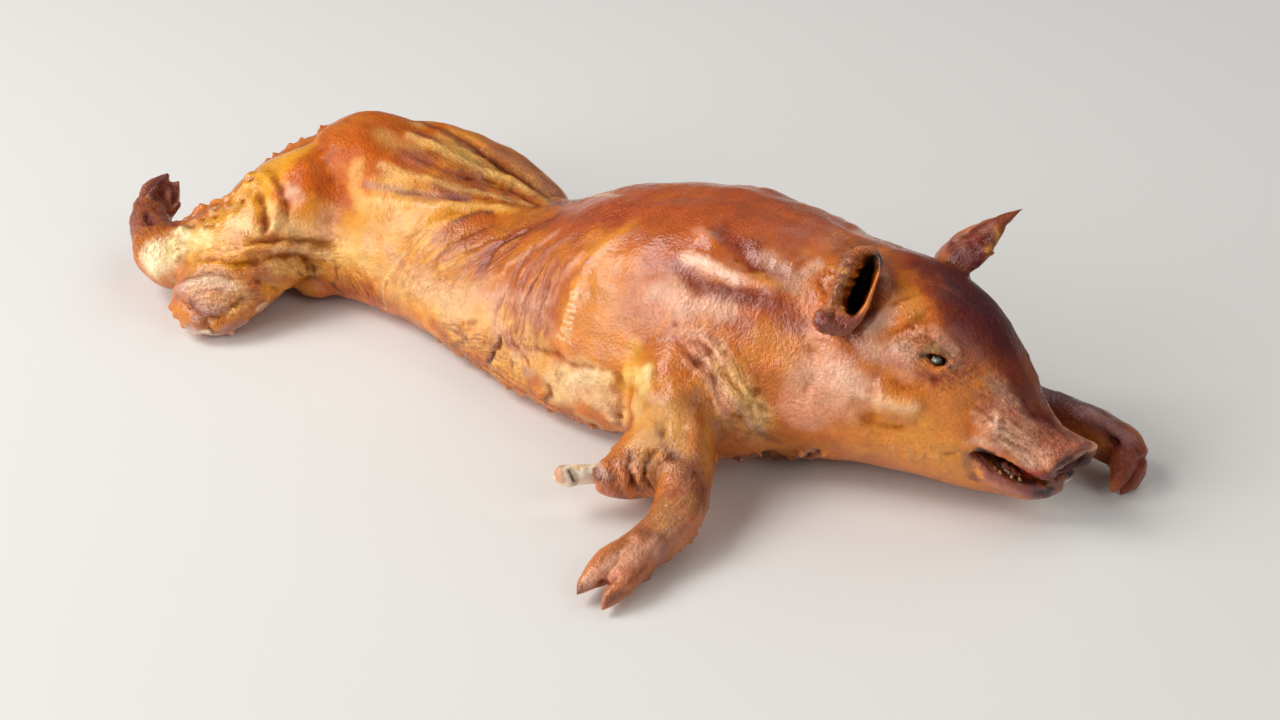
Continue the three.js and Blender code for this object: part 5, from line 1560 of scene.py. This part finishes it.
def eyeMaterial():
    # A cooked eyeball: clouded and shrunken, wet with fat, so it catches small sharp lights.
    material, tree, at, tone = newMaterial("cookedEye")
    cloud = addNode(tree, "TexNoise", {"Vector": at, "Scale": 1000 / eyeForm["cloud"], "Detail": 3})
    shade = addNode(tree, "MapRange", {"Value": cloud, "From Min": 0.3, "From Max": 0.7,
                                       "To Min": 0.75, "To Max": 1.2})
    mottled = addNode(tree, "VectorMath", {0: tone, "Scale": shade}, operation="SCALE")
    bump = addNode(tree, "Bump", {"Height": cloud, "Strength": 0.4, "Distance": 0.0003})
    dullness = addNode(tree, "MapRange", {"Value": cloud, "From Min": 0.3, "From Max": 0.7,
                                          "To Min": 0.12, "To Max": 0.25})
    surface = addNode(tree, "BsdfPrincipled", {
        "Base Color": mottled, "Roughness": dullness, "IOR": 1.38, "Normal": bump,
        "Coat Weight": 0.6, "Coat Roughness": 0.08})
    addNode(tree, "OutputMaterial", {"Surface": surface})
    return material


wetEye = eyeMaterial()
rightEye, eyeTones = makeEye("right", None)
leftEye, eyeTones = makeEye("left", eyeTones)
for eye in (rightEye, leftEye):
    eye.data.materials.append(wetEye)
print("eyes made")

# what shows in the open mouth: stubs of teeth along the lower lip, and the tip of the tongue
mouthForm = {
    "teeth": [(994, 468), (1001, 473), (1012, 478), (1021, 480)],
    "toothRadius": 1.2, "toothHeight": 2.4, "toothSides": 10,
    "tongue": [(996, 465), (1003, 470), (1010, 474), (1018, 478)],
    "tongueRadius": 3.4, "tongueSides": 14, "tongueGrain": 0.5,
}


def ringTube(centres, widths, sides, up):
    # a closed tube through centres, with rings of the given widths lying across up
    points, faces = [], []
    up = Vector(up).normalized()
    across = up.cross(Vector((1, 0.2, 0))).normalized()
    other = up.cross(across)
    for centre, width in zip(centres, widths):
        for k in range(sides):
            turn = 2 * math.pi * k / sides
            out = math.cos(turn) * across + math.sin(turn) * other
            points.append(Vector(centre) + float(width) * out)
    for ring in range(len(centres) - 1):
        for k in range(sides):
            a, b = ring * sides + k, ring * sides + (k + 1) % sides
            faces.append((a, b, b + sides, a + sides))
    faces.append(tuple(range(sides))[::-1])
    faces.append(tuple(range(len(points) - sides, len(points))))
    return points, faces


def makeTeeth(shape):
    points, faces = [], []
    chance = np.random.default_rng(3)
    for place in mouthForm["teeth"]:
        foot = shape["points"][layOn([place], shape)[0]]
        for side in (1, -1):
            tall = mouthForm["toothHeight"] * chance.uniform(0.5, 1.3)
            lean = Vector((chance.uniform(-0.5, 0.4), chance.uniform(-0.5, 0.3) * side, 1))
            root = Vector(foot * (1, side, 1)) - 1.5 * lean
            centres = [root + lean * (tall + 1.5) * share for share in (0, 0.45, 0.75, 0.93, 1)]
            widths = [mouthForm["toothRadius"] * share for share in (1, 0.95, 0.8, 0.5, 0.15)]
            made, skinned = ringTube(centres, widths, mouthForm["toothSides"], lean)
            faces += [tuple(len(points) + k for k in face) for face in skinned]
            points += made
    mesh = bpy.data.meshes.new("lower_teeth")
    mesh.from_pydata(inFrame([tuple(place) for place in points]).tolist(), [], faces)
    teeth = addObject("lower_teeth", mesh)
    rounded = teeth.modifiers.new("rounded", "SUBSURF")
    rounded.levels = rounded.render_levels = 2
    mesh = settle(teeth)
    points = readPoints(mesh)
    colour = allOver("tooth", points)
    stained = smoothStep(-0.3, 0.5, layeredNoise(points, 3, 2, 60))
    mixIn(colour, np.arange(len(points)), "boneStain", 0.75 * stained)
    storeColour(mesh, colour)
    mesh.shade_smooth()
    return teeth


def makeTongue(shape):
    line = shape["points"][[layOn([place], shape)[0] for place in mouthForm["tongue"]]]
    line[:, 1] *= 0.8                       # in from the lip
    line = drawn(line, 1.5)
    along = np.linspace(0, 1, len(line))
    widths = mouthForm["tongueRadius"] * np.sqrt(np.clip(4 * along * (1 - along), 0.02, 1)) + 0.2
    points, faces = ringTube(line.tolist(), widths, mouthForm["tongueSides"], line[-1] - line[0])
    mesh = bpy.data.meshes.new("tongue_tip")
    mesh.from_pydata(inFrame([tuple(place) for place in points]).tolist(), [], faces)
    tongue = addObject("tongue_tip", mesh)
    even = tongue.modifiers.new("evenGrain", "REMESH")
    even.mode = "VOXEL"
    even.voxel_size = mouthForm["tongueGrain"] / 1000
    mesh = settle(tongue)
    points = readPoints(mesh)
    lift = 0.7 * noise(points, 4.5, 70) + 0.35 * noise(points, 2, 71)
    points = raised(mesh, points, lift)
    colour = allOver("tongue", points)
    everywhere = np.arange(len(points))
    mixIn(colour, everywhere, "char", smoothStep(-0.1, 0.5, layeredNoise(points, 5, 2, 72)))
    mixIn(colour, everywhere, "rosePale", 0.6 * smoothStep(0.2, 0.7, lift))
    storeColour(mesh, colour)
    mesh.shade_smooth()
    return tongue


skinShape = readShape(skin.data)
teeth, tongue = makeTeeth(skinShape), makeTongue(skinShape)
teeth.data.materials.append(bone.data.materials[0])
tongue.data.materials.append(wetEye)
for piece, slot in ((teeth, "bare_bone"), (tongue, "roast_skin")):
    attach(piece, "root")
print("mouth filled")

# stage, light and camera
stageForm = {
    "floor": "#E4E1DC", "floorWide": 12, "room": "#E9EAEC", "roomStrength": 0.16,
    # softboxes: azimuth and elevation in degrees, metres away, size in metres, watts
    "softboxes": [(-20, 21, 3.4, 2.1, 70), (-56, 48, 3.2, 1.7, 70), (80, 35, 3.4, 1.8, 19),
                  (170, 50, 3.4, 2.5, 22)],
}


def makeStage():
    floorMesh = bpy.data.meshes.new("floor")
    half = stageForm["floorWide"] / 2
    corners = [(-half, -half, 0), (half, -half, 0), (half, half, 0), (-half, half, 0)]
    floorMesh.from_pydata(corners, [], [(0, 1, 2, 3)])
    floor = addObject("floor", floorMesh)
    floor.location.z = -0.0004
    paper = bpy.data.materials.new("mattPaper")     # seamless backdrop paper, dull all over
    paper.use_nodes = True
    shader = paper.node_tree.nodes["Principled BSDF"]
    shader.inputs["Base Color"].default_value = (*toLinear(stageForm["floor"]), 1)
    shader.inputs["Roughness"].default_value = 0.8
    floorMesh.materials.append(paper)

    world = bpy.data.worlds.new("studio")
    bpy.context.scene.world = world
    world.use_nodes = True
    sky = world.node_tree.nodes["Background"]
    sky.inputs["Color"].default_value = (*toLinear(stageForm["room"]), 1)
    sky.inputs["Strength"].default_value = stageForm["roomStrength"]
    for k, (azimuth, elevation, away, size, power) in enumerate(stageForm["softboxes"]):
        turn, tilt = math.radians(azimuth), math.radians(elevation)
        lamp = bpy.data.lights.new(f"softbox{k}", "AREA")
        lamp.energy, lamp.size = power, size
        box = addObject(lamp.name, lamp)
        box.location = away * Vector((math.sin(turn) * math.cos(tilt),
                                      -math.cos(turn) * math.cos(tilt), math.sin(tilt)))
        box.rotation_euler = (-box.location).to_track_quat("-Z", "Y").to_euler()

    lens = bpy.data.cameras.new("camera")
    lens.lens, lens.sensor_width = view["lens"], view["sensor"]
    camera = addObject("camera", lens)
    camera.location = inFrame(view["camera"])
    toward = Vector(view["lookAt"]) - Vector(view["camera"])
    camera.rotation_euler = toward.to_track_quat("-Z", "Y").to_euler()
    bpy.context.scene.camera = camera
    bpy.context.scene.view_settings.view_transform = "Standard"
    print("stage lit")


makeStage()
